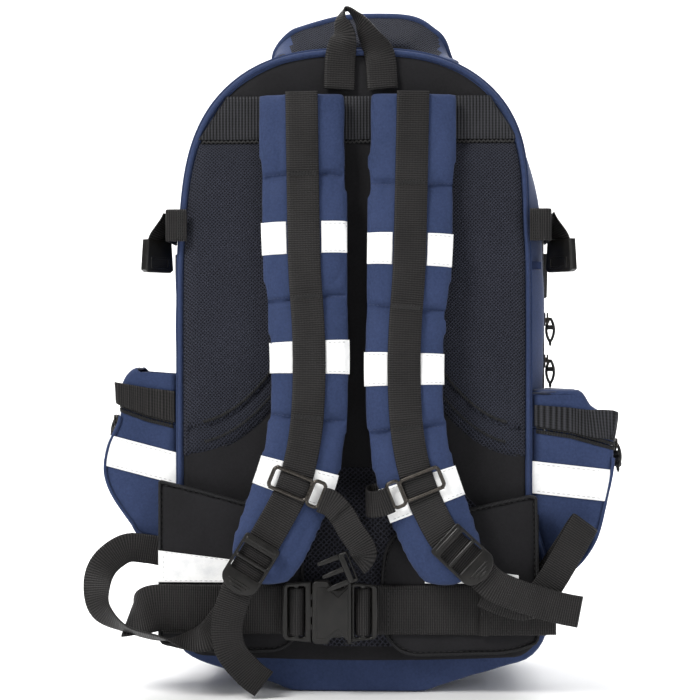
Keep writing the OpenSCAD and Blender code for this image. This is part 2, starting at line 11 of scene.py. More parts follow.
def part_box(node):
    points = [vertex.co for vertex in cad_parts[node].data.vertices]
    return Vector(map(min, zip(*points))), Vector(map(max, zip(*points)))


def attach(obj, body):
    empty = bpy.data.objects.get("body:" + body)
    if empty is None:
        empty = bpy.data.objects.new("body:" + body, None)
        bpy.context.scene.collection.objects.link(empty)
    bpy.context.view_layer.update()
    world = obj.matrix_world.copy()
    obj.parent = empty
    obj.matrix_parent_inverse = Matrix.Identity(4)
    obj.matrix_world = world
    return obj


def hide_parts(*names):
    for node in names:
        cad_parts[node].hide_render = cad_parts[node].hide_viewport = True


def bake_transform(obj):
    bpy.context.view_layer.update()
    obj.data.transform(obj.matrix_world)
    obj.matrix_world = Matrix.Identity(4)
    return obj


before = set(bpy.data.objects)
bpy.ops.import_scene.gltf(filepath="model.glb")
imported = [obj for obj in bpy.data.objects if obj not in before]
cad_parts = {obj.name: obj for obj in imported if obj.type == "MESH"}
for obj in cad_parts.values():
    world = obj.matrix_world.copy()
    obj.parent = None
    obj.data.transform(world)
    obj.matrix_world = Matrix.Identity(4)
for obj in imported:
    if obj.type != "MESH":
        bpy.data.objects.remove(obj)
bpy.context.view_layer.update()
scene = bpy.context.scene
MM = 0.001


def box_mm(node):
    lo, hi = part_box(node)
    return np.array(lo) / MM, np.array(hi) / MM


# ------------------------------------------------------------------ sizes, in millimetres
shell_lo, shell_hi = box_mm("rear_shell")
BODY_H = shell_hi[2]
HALF_W = shell_hi[0]
Y_BACK = shell_lo[1]
Y_SPLIT = round(shell_hi[1] + 0.15, 2)
Y_FRONT = box_mm("boot")[1][1]
Y_PANEL = box_mm("back_panel")[0][1]
WALL = 2.5
SHOULDER_Z, DOME_POWER = 300, 2.8
BASE_HALF, BASE_SLOPE, CORNER_R = 50, math.radians(16.7), 34
ZIP_LOW_Z = 62
WEB_W, WEB_T = 25, 2.2
LEFT, RIGHT = -1, 1
SIDE_NAME = {LEFT: "left", RIGHT: "right"}


# ------------------------------------------------------------------ camera, lights and floor
LENS_MM, SENSOR_MM = 85, 36
VIEW_X, VIEW_Z, VIEW_WIDTH = -6.2, 267, 546
AZIMUTH = math.radians(2)


def add_camera():
    data = bpy.data.cameras.new("camera")
    data.lens = LENS_MM
    cam = bpy.data.objects.new("camera", data)
    scene.collection.objects.link(cam)
    target = Vector((VIEW_X * MM, Y_PANEL * MM, VIEW_Z * MM))
    distance = VIEW_WIDTH * MM / SENSOR_MM * LENS_MM
    back = Vector((math.sin(AZIMUTH), -math.cos(AZIMUTH), 0))
    cam.location = target + back * distance
    cam.rotation_mode = "QUATERNION"
    cam.rotation_quaternion = (-back).to_track_quat("-Z", "Y")
    data.clip_start, data.clip_end = 0.05, 50
    scene.camera = cam


def area_light(name, place, aim, size, power, color=(1, 1, 1)):
    data = bpy.data.lights.new(name, "AREA")
    data.size = size
    data.energy = power
    data.color = color
    lamp = bpy.data.objects.new(name, data)
    lamp.location = place
    lamp.rotation_euler = (Vector(aim) - Vector(place)).to_track_quat("-Z", "Y").to_euler()
    scene.collection.objects.link(lamp)


def add_stage():
    world = bpy.data.worlds.new("studio")
    scene.world = world
    world.use_nodes = True
    background = world.node_tree.nodes["Background"]
    background.inputs["Color"].default_value = (1.0, 1.0, 1.0, 1)
    background.inputs["Strength"].default_value = 0.28
    middle = (0, 0, 0.27)
    area_light("key", (-1.3, -1.3, 1.9), middle, 0.7, 50, (1.0, 0.99, 0.97))
    area_light("fill", (1.5, -1.3, 0.9), middle, 1.4, 10, (0.95, 0.97, 1.0))
    area_light("rim", (0.6, 1.6, 1.5), middle, 1.4, 20)
    area_light("wall", (0, 1.0, 2.2), (0, 2.2, 0.2), 2.5, 60)
    mesh = bpy.data.meshes.new("floor")
    size, back = 3.0, 2.2
    rows = [(-size, 0.0), (back - 0.8, 0.0)]
    rows += [(back - 0.8 + 0.8 * math.sin(a), 0.8 - 0.8 * math.cos(a))
             for a in np.linspace(0.1, math.pi / 2, 10)]
    rows += [(back, size)]
    verts = [(x, y, z) for y, z in rows for x in (-size * 1.4, size * 1.4)]
    faces = [(2 * i, 2 * i + 1, 2 * i + 3, 2 * i + 2) for i in range(len(rows) - 1)]
    mesh.from_pydata(verts, [], faces)
    for face in mesh.polygons:
        face.use_smooth = True
    floor = bpy.data.objects.new("floor", mesh)
    scene.collection.objects.link(floor)
    paint = bpy.data.materials.new("floor_paint")
    paint.use_nodes = True
    shader = paint.node_tree.nodes["Principled BSDF"]
    shader.inputs["Base Color"].default_value = (0.93, 0.93, 0.93, 1)
    shader.inputs["Roughness"].default_value = 0.9
    mesh.materials.append(paint)


add_camera()
add_stage()
scene.view_settings.view_transform = "Standard"


# ------------------------------------------------------------------ materials
class Nodes:
    """A small writer of node trees: each call makes one node and joins its inputs."""

    def __init__(self, name):
        self.material = bpy.data.materials.new(name)
        self.material.use_nodes = True
        self.tree = self.material.node_tree
        self.shader = self.tree.nodes["Principled BSDF"]

    def add(self, kind, inputs=None, **settings):
        node = self.tree.nodes.new(kind)
        for key, value in settings.items():
            setattr(node, key, value)
        for key, value in (inputs or {}).items():
            self.join(node, key, value)
        return node

    def join(self, node, key, value):
        if isinstance(value, bpy.types.NodeSocket):
            self.tree.links.new(value, node.inputs[key])
        else:
            node.inputs[key].default_value = value

    def math(self, operation, a, b=0.0, clamp=False):
        return self.add("ShaderNodeMath", {0: a, 1: b}, operation=operation, use_clamp=clamp).outputs[0]

    def wave(self, coordinate, pitch_mm, phase=0.0):
        """A sine from 0 to 1 that repeats every pitch along a coordinate in millimetres."""
        turned = self.math("ADD", self.math("MULTIPLY", coordinate, 2 * math.pi / pitch_mm), phase)
        return self.math("ADD", self.math("MULTIPLY", self.math("SINE", turned), 0.5), 0.5)

    def noise(self, vector, scale, detail=2.0, rough=0.5):
        node = self.add("ShaderNodeTexNoise",
                        {"Vector": vector, "Scale": scale, "Detail": detail, "Roughness": rough})
        return node.outputs["Fac"]

    def place(self):
        """The point on the surface, in millimetres."""
        raw = self.add("ShaderNodeTexCoord").outputs["Object"]
        return self.add("ShaderNodeVectorMath", {0: raw, 1: (1 / MM,) * 3}, operation="MULTIPLY").outputs[0]

    def cloth_place(self):
        """Across, along and side on a strip of webbing, in millimetres."""
        return self.add("ShaderNodeAttribute", attribute_name="weave").outputs["Vector"]

    def split(self, vector):
        return self.add("ShaderNodeSeparateXYZ", {0: vector}).outputs

    def ramp(self, value, dark, light, low=0.0, high=1.0):
        """Blends two colours as value goes from low to high."""
        node = self.add("ShaderNodeMapRange", {"Value": value, "From Min": low, "From Max": high})
        mix = self.add("ShaderNodeMix", {"Factor": node.outputs[0]}, data_type="RGBA")
        mix.inputs[6].default_value = (*dark, 1)
        mix.inputs[7].default_value = (*light, 1)
        return mix.outputs[2]

    def finish(self, color, roughness, height=None, strength=0.5, distance_mm=0.3, **constants):
        self.join(self.shader, "Base Color", color)
        self.join(self.shader, "Roughness", roughness)
        if height is not None:
            bump = self.add("ShaderNodeBump",
                            {"Height": height, "Strength": strength, "Distance": distance_mm * MM})
            self.join(self.shader, "Normal", bump.outputs[0])
        for key, value in constants.items():
            self.shader.inputs[key.replace("_", " ")].default_value = value
        return self.material


def woven(name, dark, light, pitch_mm=0.75, sheen=0.08, rough=0.78, grain=1.0):
    """Plain-woven coated fabric: fine crossing threads, slubs and a slow change of shade."""
    n = Nodes(name)
    place = n.place()
    x, y, z = n.split(place)[0:3]
    warp = n.wave(n.math("ADD", x, n.math("MULTIPLY", y, 0.93)), pitch_mm)
    weft = n.wave(n.math("ADD", z, n.math("MULTIPLY", y, 0.31)), pitch_mm)
    threads = n.math("MULTIPLY", n.math("ADD", warp, weft), 0.5)
    slub = n.noise(place, 0.55 * grain, 3.0, 0.65)
    cloudy = n.noise(place, 0.018, 3.0, 0.55)
    mixed = n.math("ADD", n.math("MULTIPLY", slub, 0.55), n.math("MULTIPLY", cloudy, 0.45))
    mixed = n.math("ADD", n.math("MULTIPLY", threads, 0.16), n.math("MULTIPLY", mixed, 0.84))
    color = n.ramp(mixed, dark, light, 0.34, 0.66)
    roughness = n.math("ADD", n.math("MULTIPLY", slub, 0.18), rough - 0.09)
    height = n.math("ADD", n.math("MULTIPLY", threads, 0.5), n.math("MULTIPLY", slub, 0.9))
    return n.finish(color, roughness, height, 0.4, 0.25, Sheen_Weight=sheen, Sheen_Roughness=0.45,
                    Specular_IOR_Level=0.2)


def webbing_material(name, dark, light, pitch_mm=1.7):
    """Flat woven webbing: ribs across it, broken by lengthwise warp lines, with firm edges; the rib crests
    are painted lighter, a painted highlight along each rib.
    """
    n = Nodes(name)
    place = n.cloth_place()
    across, along = n.split(place)[0:2]
    turned = n.math("MULTIPLY", along, 2 * math.pi / pitch_mm)
    rib = n.math("ADD", n.math("MULTIPLY", n.math("SINE", turned), 0.5), 0.5)
    line = n.wave(across, 2.1)
    fuzz = n.noise(n.place(), 0.9, 3.0, 0.6)
    cloudy = n.noise(n.place(), 0.03, 2.0)
    pattern = n.math("ADD", n.math("MULTIPLY", rib, 0.66), n.math("MULTIPLY", line, 0.14))
    shade = n.math("ADD", n.math("MULTIPLY", pattern, 0.6),
                   n.math("MULTIPLY", n.math("ADD", fuzz, cloudy), 0.22))
    # The rib crests take the light colour: a painted highlight on each rib, on top of the bump.
    color = n.ramp(shade, dark, light, 0.24, 0.72)
    roughness = n.math("ADD", n.math("MULTIPLY", fuzz, 0.2), 0.42)
    height = n.math("ADD", pattern, n.math("MULTIPLY", fuzz, 0.35))
    return n.finish(color, roughness, height, 0.85, 0.45, Sheen_Weight=0.02, Sheen_Roughness=0.4,
                    Specular_IOR_Level=0.2)


def mesh_material(name, cell_mm, dark, light):
    """Knitted spacer mesh: rows of small open cells with raised threads round them; the cells are painted
    dark, as painted shade inside the open cells, and the threads lighter.
    """
    n = Nodes(name)
    place = n.place()
    x, y, z = n.split(place)
    rising = n.math("ADD", n.math("MULTIPLY", n.math("ADD", x, z), 0.707), n.math("MULTIPLY", y, 0.5))
    falling = n.math("ADD", n.math("MULTIPLY", n.math("SUBTRACT", z, x), 0.707), n.math("MULTIPLY", y, 0.3))
    flat = n.add("ShaderNodeCombineXYZ", {"X": rising, "Y": falling}).outputs[0]
    cells = n.add("ShaderNodeTexVoronoi", {"Vector": flat, "Scale": 1 / cell_mm, "Randomness": 0.3},
                  feature="F1", voronoi_dimensions="2D")
    edge = n.add("ShaderNodeTexVoronoi", {"Vector": flat, "Scale": 1 / cell_mm, "Randomness": 0.3},
                 feature="DISTANCE_TO_EDGE", voronoi_dimensions="2D")
    thread = n.math("SUBTRACT", 1.0, n.math("MULTIPLY", edge.outputs["Distance"], 3.2), clamp=True)
    fuzz = n.noise(place, 0.8, 3.0, 0.6)
    cloudy = n.noise(place, 0.02, 2.0)
    shade = n.math("ADD", n.math("MULTIPLY", thread, 0.65),
                   n.math("MULTIPLY", n.math("ADD", fuzz, cloudy), 0.2))
    # Threads take the light colour and the open cells the dark one: painted shade in the cells.
    color = n.ramp(shade, dark, light, 0.2, 0.95)
    height = n.math("ADD", thread,
                    n.math("MULTIPLY", n.math("SUBTRACT", 1.0, cells.outputs["Distance"]), 0.25))
    roughness = n.math("ADD", n.math("MULTIPLY", fuzz, 0.15), 0.72)
    return n.finish(color, roughness, height, 0.9, 0.8, Sheen_Weight=0.04, Specular_IOR_Level=0.15)


def tape_material():
    """Silver retroreflective tape: a fine bead grain with faint rubbed patches; its pale grey is partly the
    tape's own silver and partly painted light, and its faint emission is a painted glow standing in for the
    flash the beads throw back.
    """
    n = Nodes("reflective_tape")
    place = n.place()
    bead = n.noise(place, 2.4, 2.0, 0.6)
    rub = n.noise(place, 0.07, 4.0, 0.6)
    shade = n.math("ADD", n.math("MULTIPLY", bead, 0.25), n.math("MULTIPLY", rub, 0.75))
    color = n.ramp(shade, (0.66, 0.67, 0.68), (0.90, 0.90, 0.89), 0.3, 0.6)
    roughness = n.math("ADD", n.math("MULTIPLY", rub, 0.2), 0.35)
    # The emission is a painted glow standing in for light thrown back by the beads; the tape is no lamp.
    return n.finish(color, roughness, bead, 0.15, 0.2, Emission_Color=(1, 1, 1, 1), Emission_Strength=0.16)


def plastic_material(name, dark, light, rough=0.34):
    n = Nodes(name)
    place = n.place()
    grain = n.noise(place, 1.6, 3.0, 0.6)
    smear = n.noise(place, 0.12, 3.0, 0.55)
    color = n.ramp(smear, dark, light, 0.35, 0.7)
    roughness = n.math("ADD", n.math("MULTIPLY", smear, 0.22), rough - 0.1)
    return n.finish(color, roughness, grain, 0.12, 0.15, Coat_Weight=0.06, Coat_Roughness=0.25,
                    Specular_IOR_Level=0.35)


def metal_material():
    n = Nodes("dark_nickel")
    place = n.place()
    scratch = n.noise(place, 0.8, 5.0, 0.7)
    color = n.ramp(scratch, (0.035, 0.032, 0.030), (0.12, 0.108, 0.095), 0.3, 0.7)
    roughness = n.math("ADD", n.math("MULTIPLY", scratch, 0.25), 0.2)
    return n.finish(color, roughness, scratch, 0.1, 0.1, Metallic=1.0)


def thread_material(name, color_dark, color_light):
    n = Nodes(name)
    place = n.place()
    twist = n.noise(place, 2.2, 3.0, 0.7)
    color = n.ramp(twist, color_dark, color_light, 0.3, 0.7)
    return n.finish(color, n.math("ADD", n.math("MULTIPLY", twist, 0.2), 0.5), twist, 0.6, 0.3)


NAVY = woven("navy_fabric", (0.017, 0.030, 0.078), (0.037, 0.056, 0.134))
NAVY_LINING = woven("navy_lining", (0.012, 0.020, 0.055), (0.022, 0.035, 0.09), 0.6, 0.1)
BLACK = woven("black_fabric", (0.0062, 0.0060, 0.0068), (0.0165, 0.016, 0.0185), 0.75, 0.05, 0.8)
WEBBING = webbing_material("webbing", (0.0009, 0.0008, 0.0008), (0.030, 0.028, 0.028))
BINDING = webbing_material("binding", (0.004, 0.004, 0.0045), (0.02, 0.02, 0.022), 1.1)
MESH_FINE = mesh_material("fine_mesh", 2.0, (0.005, 0.0055, 0.009), (0.046, 0.050, 0.072))
MESH_COARSE = mesh_material("coarse_mesh", 3.0, (0.004, 0.004, 0.006), (0.042, 0.044, 0.060))
TAPE = tape_material()
PLASTIC = plastic_material("buckle_plastic", (0.004, 0.0037, 0.0034), (0.010, 0.009, 0.008))
SHEET = plastic_material("sheet_plastic", (0.03, 0.03, 0.032), (0.05, 0.05, 0.052), 0.55)
METAL = metal_material()
THREAD = thread_material("black_thread", (0.004, 0.004, 0.0042), (0.017, 0.0165, 0.017))
RIBBED = webbing_material("ribbed_band", (0.0008, 0.0008, 0.001), (0.042, 0.043, 0.050), 2.5)
NAVY_THREAD = thread_material("navy_thread", (0.018, 0.028, 0.07), (0.05, 0.07, 0.15))


# ------------------------------------------------------------------ mesh helpers
UPRIGHT = Matrix.Rotation(math.pi / 2, 4, "X")
QUARTER_Z = Matrix.Rotation(math.pi / 2, 4, "Z")


def at(x, y, z):
    return Matrix.Translation(Vector((x, y, z)) * MM)


def ring_faces(rows, count):
    """Faces between rows of equal closed rings of points."""
    return [(i * count + j, i * count + (j + 1) % count, (i + 1) * count + (j + 1) % count,
             (i + 1) * count + j)
            for i in range(rows - 1) for j in range(count)]


def last_ring(rows, count):
    return tuple((rows - 1) * count + j for j in range(count))


def capped_faces(rows, count):
    """Faces of a loft that is closed at both ends."""
    return ring_faces(rows, count) + [tuple(range(count))[::-1], last_ring(rows, count)]


def coordinates(obj):
    """A mesh's vertices as an array in millimetres."""
    co = np.empty(len(obj.data.vertices) * 3)
    obj.data.vertices.foreach_get("co", co)
    return co.reshape(-1, 3) / MM


def moved_to(obj, points_mm):
    obj.data.vertices.foreach_set("co", (points_mm * MM).ravel())
    obj.data.update()
    return obj


def facing_away(obj, middle_mm, merge_mm=0):
    """Turns the faces of an open sheet so that they look away from a point."""
    bm = bmesh.new()
    bm.from_mesh(obj.data)
    if merge_mm:
        bmesh.ops.remove_doubles(bm, verts=bm.verts, dist=merge_mm * MM)
    bmesh.ops.recalc_face_normals(bm, faces=bm.faces)
    middle = Vector(middle_mm) * MM
    if sum((f.calc_center_median() - middle).dot(f.normal) * f.calc_area() for f in bm.faces) < 0:
        bmesh.ops.reverse_faces(bm, faces=bm.faces)
    bm.to_mesh(obj.data)
    bm.free()


def lined(obj, wall_mm):
    """Gives an open sheet its thickness, with its second material on the inside."""
    thick = obj.modifiers.new("thickness", "SOLIDIFY")
    thick.thickness = wall_mm * MM
    thick.offset = -1
    thick.material_offset = 1
    return apply_modifiers(obj)


def new_object(name, verts_mm, faces, material, smooth=True):
    mesh = bpy.data.meshes.new(name)
    mesh.from_pydata([tuple(np.asarray(v, float) * MM) for v in verts_mm], [], faces)
    mesh.materials.append(material)
    mesh.polygons.foreach_set("use_smooth", [smooth] * len(mesh.polygons))
    mesh.update()
    obj = bpy.data.objects.new(name, mesh)
    scene.collection.objects.link(obj)
    return obj


def fix_normals(obj):
    bm = bmesh.new()
    bm.from_mesh(obj.data)
    bmesh.ops.recalc_face_normals(bm, faces=bm.faces)
    bm.to_mesh(obj.data)
    bm.free()
    return obj


def apply_modifiers(obj):
    graph = bpy.context.evaluated_depsgraph_get()
    mesh = bpy.data.meshes.new_from_object(obj.evaluated_get(graph), depsgraph=graph)
    obj.modifiers.clear()
    old = obj.data
    obj.data = mesh
    bpy.data.meshes.remove(old)
    return obj


def joined(name, objects):
    """Merges mesh objects into one piece, keeping each one's material."""
    target = bpy.data.meshes.new(name)
    bm = bmesh.new()
    materials = []
    for obj in objects:
        bpy.context.view_layer.update()
        mesh = obj.data.copy()
        mesh.transform(obj.matrix_world)
        shift = []
        for slot in obj.data.materials:
            if slot not in materials:
                materials.append(slot)
            shift.append(materials.index(slot))
        for face in mesh.polygons:
            face.material_index = shift[face.material_index]
        bm.from_mesh(mesh)
        bpy.data.meshes.remove(mesh)
        bpy.data.objects.remove(obj)
    bm.to_mesh(target)
    bm.free()
    for material in materials:
        target.materials.append(material)
    result = bpy.data.objects.new(name, target)
    scene.collection.objects.link(result)
    return result


def catmull(points, step):
    """A smooth curve through points of any dimension, sampled about every step."""
    p = np.array(points, float)
    ends = np.vstack([2 * p[0] - p[1], p, 2 * p[-1] - p[-2]])
    out = []
    for i in range(len(p) - 1):
        a, b, c, d = ends[i:i + 4]
        count = max(2, int(np.linalg.norm((c - b)[:3]) / step))
        for t in np.arange(count) / count:
            out.append(0.5 * (2 * b + (c - a) * t + (2 * a - 5 * b + 4 * c - d) * t ** 2
                              + (3 * b - a - 3 * c + d) * t ** 3))
    out.append(p[-1])
    return np.array(out)


def unit(v):
    return v / (np.linalg.norm(v, axis=-1, keepdims=True) + 1e-12)


def arc_lengths(p):
    return np.concatenate([[0], np.cumsum(np.linalg.norm(np.diff(p, axis=0), axis=1))])


def ribbon(name, stations, width, material, thick=WEB_T, step=2.0, sway=0.0, seed=0, scale_width=None):
    """Webbing swept along stations of (centre, direction across), with rounded edges."""
    rows = catmull([list(c) + list(a) for c, a in stations], step)
    centre, across = rows[:, :3], rows[:, 3:]
    tangent = unit(np.gradient(centre, axis=0))
    across = unit(across - tangent * np.sum(across * tangent, axis=1, keepdims=True))
    normal = np.cross(tangent, across)
    length = arc_lengths(centre)
    columns = np.array([-1, -0.97, -0.88, -0.66, -0.33, 0, 0.33, 0.66, 0.88, 0.97, 1])
    rise = np.array([0.15, 0.62, 0.94, 1, 1, 1, 1, 1, 0.94, 0.62, 0.15])
    section = [(u, h) for u, h in zip(columns, rise)] + [(u, -h) for u, h in zip(columns[::-1], rise[::-1])]
    verts, weave = [], []
    for i, c in enumerate(centre):
        half = width / 2 * (scale_width(length[i] / length[-1]) if scale_width else 1)
        for u, h in section:
            wander = sway * noise.noise((length[i] * 0.035 + seed, u * 0.7, seed * 1.7))
            verts.append(c + across[i] * u * half + normal[i] * (h * thick / 2 + wander))
            weave.append((u * width / 2, length[i], h))
    obj = new_object(name, verts, capped_faces(len(centre), len(section)), material)
    attribute = obj.data.attributes.new("weave", "FLOAT_VECTOR", "POINT")
    attribute.data.foreach_set("vector", np.array(weave, np.float32).ravel())
    return fix_normals(obj)


def tube(name, points_mm, radius_mm, material, sides=10, step=2.0, closed=False):
    path = catmull(points_mm, step)
    if closed:
        path = path[:-1]
    tangent = unit(np.roll(path, -1, 0) - np.roll(path, 1, 0)) if closed else unit(np.gradient(path, axis=0))
    normal = np.cross(tangent[0], (0.3, 0.5, 0.81))
    verts = []
    for i, p in enumerate(path):
        normal = unit(normal - tangent[i] * np.dot(normal, tangent[i]))
        other = np.cross(tangent[i], normal)
        for j in range(sides):
            a = 2 * math.pi * j / sides
            verts.append(p + radius_mm * (math.cos(a) * normal + math.sin(a) * other))
    if closed:
        total = len(verts)
        faces = [tuple(k % total for k in face) for face in ring_faces(len(path) + 1, sides)]
    else:
        faces = capped_faces(len(path), sides)
    return fix_normals(new_object(name, verts, faces, material))


def plate(name, outlines, thick, material, bevel=0.8, matrix=None):
    """A moulded plate from closed outlines in millimetres (the first is the rim, the others are holes)."""
    curve = bpy.data.curves.new(name, "CURVE")
    curve.dimensions = "2D"
    curve.fill_mode = "BOTH"
    curve.extrude = max(thick / 2 - bevel, 0.01) * MM
    curve.bevel_depth = bevel * MM
    curve.bevel_resolution = 3
    curve.offset = -bevel * MM
    for outline in outlines:
        spline = curve.splines.new("POLY")
        spline.points.add(len(outline) - 1)
        for point, (x, y) in zip(spline.points, outline):
            point.co = (x * MM, y * MM, 0, 1)
        spline.use_cyclic_u = True
    holder = bpy.data.objects.new(name, curve)
    scene.collection.objects.link(holder)
    graph = bpy.context.evaluated_depsgraph_get()
    mesh = bpy.data.meshes.new_from_object(holder.evaluated_get(graph))
    bpy.data.objects.remove(holder)
    if matrix is not None:
        mesh.transform(matrix)
    mesh.materials.clear()
    mesh.materials.append(material)
    obj = bpy.data.objects.new(name, mesh)
    scene.collection.objects.link(obj)
    bm = bmesh.new()
    bm.from_mesh(mesh)
    bmesh.ops.remove_doubles(bm, verts=bm.verts, dist=1e-6)
    bmesh.ops.recalc_face_normals(bm, faces=bm.faces)
    bm.to_mesh(mesh)
    bm.free()
    mesh.polygons.foreach_set("use_smooth", [True] * len(mesh.polygons))
    mesh.set_sharp_from_angle(angle=math.radians(40))
    return obj


def rounded_rect(x0, y0, x1, y1, r=2.0, n=5):
    points = []
    corners = [(x1 - r, y1 - r, 0), (x0 + r, y1 - r, 90), (x0 + r, y0 + r, 180), (x1 - r, y0 + r, 270)]
    for cx, cy, start in corners:
        for i in range(n + 1):
            a = math.radians(start + 90 * i / n)
            points.append((cx + r * math.cos(a), cy + r * math.sin(a)))
    return points


def placed(obj, body, slot, *nodes):
    """Rides on a body and stands for CAD nodes, which it hides; the slot argument is not used."""
    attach(obj, body)
    if nodes:
        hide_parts(*nodes)
    return obj


def puffed(obj, hold, pressure=4.0, voxel=4.5, reach=3.0):
    """Blows a soft piece up as cloth: hold(point) says how firmly a point is kept, from 0 to 1."""
    even = obj.modifiers.new("even", "REMESH")
    even.mode = "VOXEL"
    even.voxel_size = voxel * MM
    even.use_smooth_shade = True
    apply_modifiers(obj)
    rest = np.array([v.co[:] for v in obj.data.vertices])
    group = obj.vertex_groups.new(name="held")
    for i, p in enumerate(rest):
        group.add([i], float(min(max(hold(p / MM), 0), 1)), "REPLACE")
    cloth = obj.modifiers.new("cloth", "CLOTH")
    cloth.settings.quality = 6
    cloth.settings.mass = 0.15
    cloth.settings.tension_stiffness = 12
    cloth.settings.compression_stiffness = 12
    cloth.settings.shear_stiffness = 6
    cloth.settings.bending_stiffness = 0.4
    cloth.settings.use_pressure = True
    cloth.settings.uniform_pressure_force = pressure
    cloth.settings.vertex_group_mass = "held"
    cloth.settings.effector_weights.gravity = 0
    cloth.point_cache.frame_start = 1
    cloth.point_cache.frame_end = 20
    for step in range(1, 21):
        scene.frame_set(step)
    apply_modifiers(obj)
    scene.frame_set(1)
    now = np.array([v.co[:] for v in obj.data.vertices])
    move = now - rest
    length = np.linalg.norm(move, axis=1, keepdims=True)
    limit = reach * MM
    capped = rest + move * np.where(length > limit, limit / np.maximum(length, 1e-9), 1)
    obj.data.vertices.foreach_set("co", capped.ravel())
    obj.data.update()
    finer = obj.modifiers.new("finer", "SUBSURF")
    finer.levels = finer.render_levels = 1
    apply_modifiers(obj)
    obj.vertex_groups.clear()
    obj.data.polygons.foreach_set("use_smooth", [True] * len(obj.data.polygons))
    return obj


def reshape(obj, rule):
    """Moves every vertex of a mesh by a rule on millimetre coordinates."""
    return moved_to(obj, np.array([rule(p) for p in coordinates(obj)]))


def stitches(name, points_mm, normals, material, length=3.2, gap=1.6, radius=0.35, lift=0.25):
    """A row of sewn stitches along a path that lies on a surface."""
    path = np.array(points_mm, float)
    along = arc_lengths(path)
    normals = unit(np.broadcast_to(np.array(normals, float), path.shape))
    verts, faces = [], []
    ring = 6
    start = gap
    while start + length < along[-1]:
        base = len(verts)
        profile = [(0.0, 0.25), (0.25, 0.95), (0.5, 1.0), (0.75, 0.95), (1.0, 0.25)]
        for share, swell in profile:
            s = start + share * length
            p = np.array([np.interp(s, along, path[:, k]) for k in range(3)])
            q = np.array([np.interp(min(s + 0.5, along[-1]), along, path[:, k]) for k in range(3)])
            r = np.array([np.interp(max(s - 0.5, 0), along, path[:, k]) for k in range(3)])
            t = unit(q - r)
            nrm = np.array([np.interp(s, along, normals[:, k]) for k in range(3)])
            side = unit(np.cross(t, nrm))
            for j in range(ring):
                a = 2 * math.pi * j / ring
                verts.append(p + nrm * (lift * swell - 0.1 + math.sin(a) * radius * swell)
                             + side * math.cos(a) * radius * swell)
        for i in range(len(profile) - 1):
            for j in range(ring):
                a, b = base + i * ring + j, base + i * ring + (j + 1) % ring
                faces.append((a, b, b + ring, a + ring))
        faces.append(tuple(base + j for j in range(ring))[::-1])
        faces.append(tuple(base + (len(profile) - 1) * ring + j for j in range(ring)))
        start += length + gap
    return fix_normals(new_object(name, verts, faces, material))


# ------------------------------------------------------------------ the pack's outline
def half_outline(inset):
    """Right half of the outline from the top middle to the flat base, drawn in by inset."""
    pts = []
    n_dome, n_corner = 40, 14
    for i in range(n_dome + 1):
        a = math.pi / 2 * i / n_dome
        pts.append(((HALF_W - inset) * max(math.sin(a), 0) ** (2 / DOME_POWER),
                    SHOULDER_Z + (BODY_H - SHOULDER_Z - inset) * max(math.cos(a), 0) ** (2 / DOME_POWER)))
    cx = HALF_W - CORNER_R
    cz = (CORNER_R + (cx - BASE_HALF) * math.sin(BASE_SLOPE)) / math.cos(BASE_SLOPE)
    for i in range(n_corner + 1):
        a = -(math.pi / 2 - BASE_SLOPE) * i / n_corner
        pts.append((cx + (CORNER_R - inset) * math.cos(a), cz + (CORNER_R - inset) * math.sin(a)))
    pts.append((BASE_HALF - inset * math.tan(BASE_SLOPE / 2), inset))
    pts.append((0, inset))
    return np.array(pts)


def outline(inset, count=220):
    """The closed outline, evenly spaced, starting at the middle of the base and going up the right side."""
    right = half_outline(inset)[::-1]
    left = right[1:-1][::-1] * (-1, 1)
    loop = np.vstack([right, left, right[:1]])
    s = arc_lengths(loop)
    t = np.linspace(0, s[-1], count, endpoint=False)
    return np.column_stack([np.interp(t, s, loop[:, 0]), np.interp(t, s, loop[:, 1])])


def dome_z(x):
    """Height of the top outline at x."""
    share = (abs(x) / HALF_W) ** DOME_POWER
    return SHOULDER_Z + (BODY_H - SHOULDER_Z) * (1 - share) ** (1 / DOME_POWER)


def wrinkle(x, y, z, size, seed):
    """Soft folds, from 0 (none) to about 1 (deep)."""
    p = Vector((x / size + seed, y / size, z / size - seed))
    q = p + 0.6 * noise.noise_vector(p * 0.7)
    return (1 - abs(noise.noise(q))) ** 4 * 0.8 + 0.2 * (noise.noise(q * 2.3) + 1) / 2


def cap_rings(flat, shares):
    """Rings that shrink a flat ring of (x, z) towards its middle."""
    middle = (flat.min(0) + flat.max(0)) / 2
    return [middle + (flat - middle) * s for s in shares]


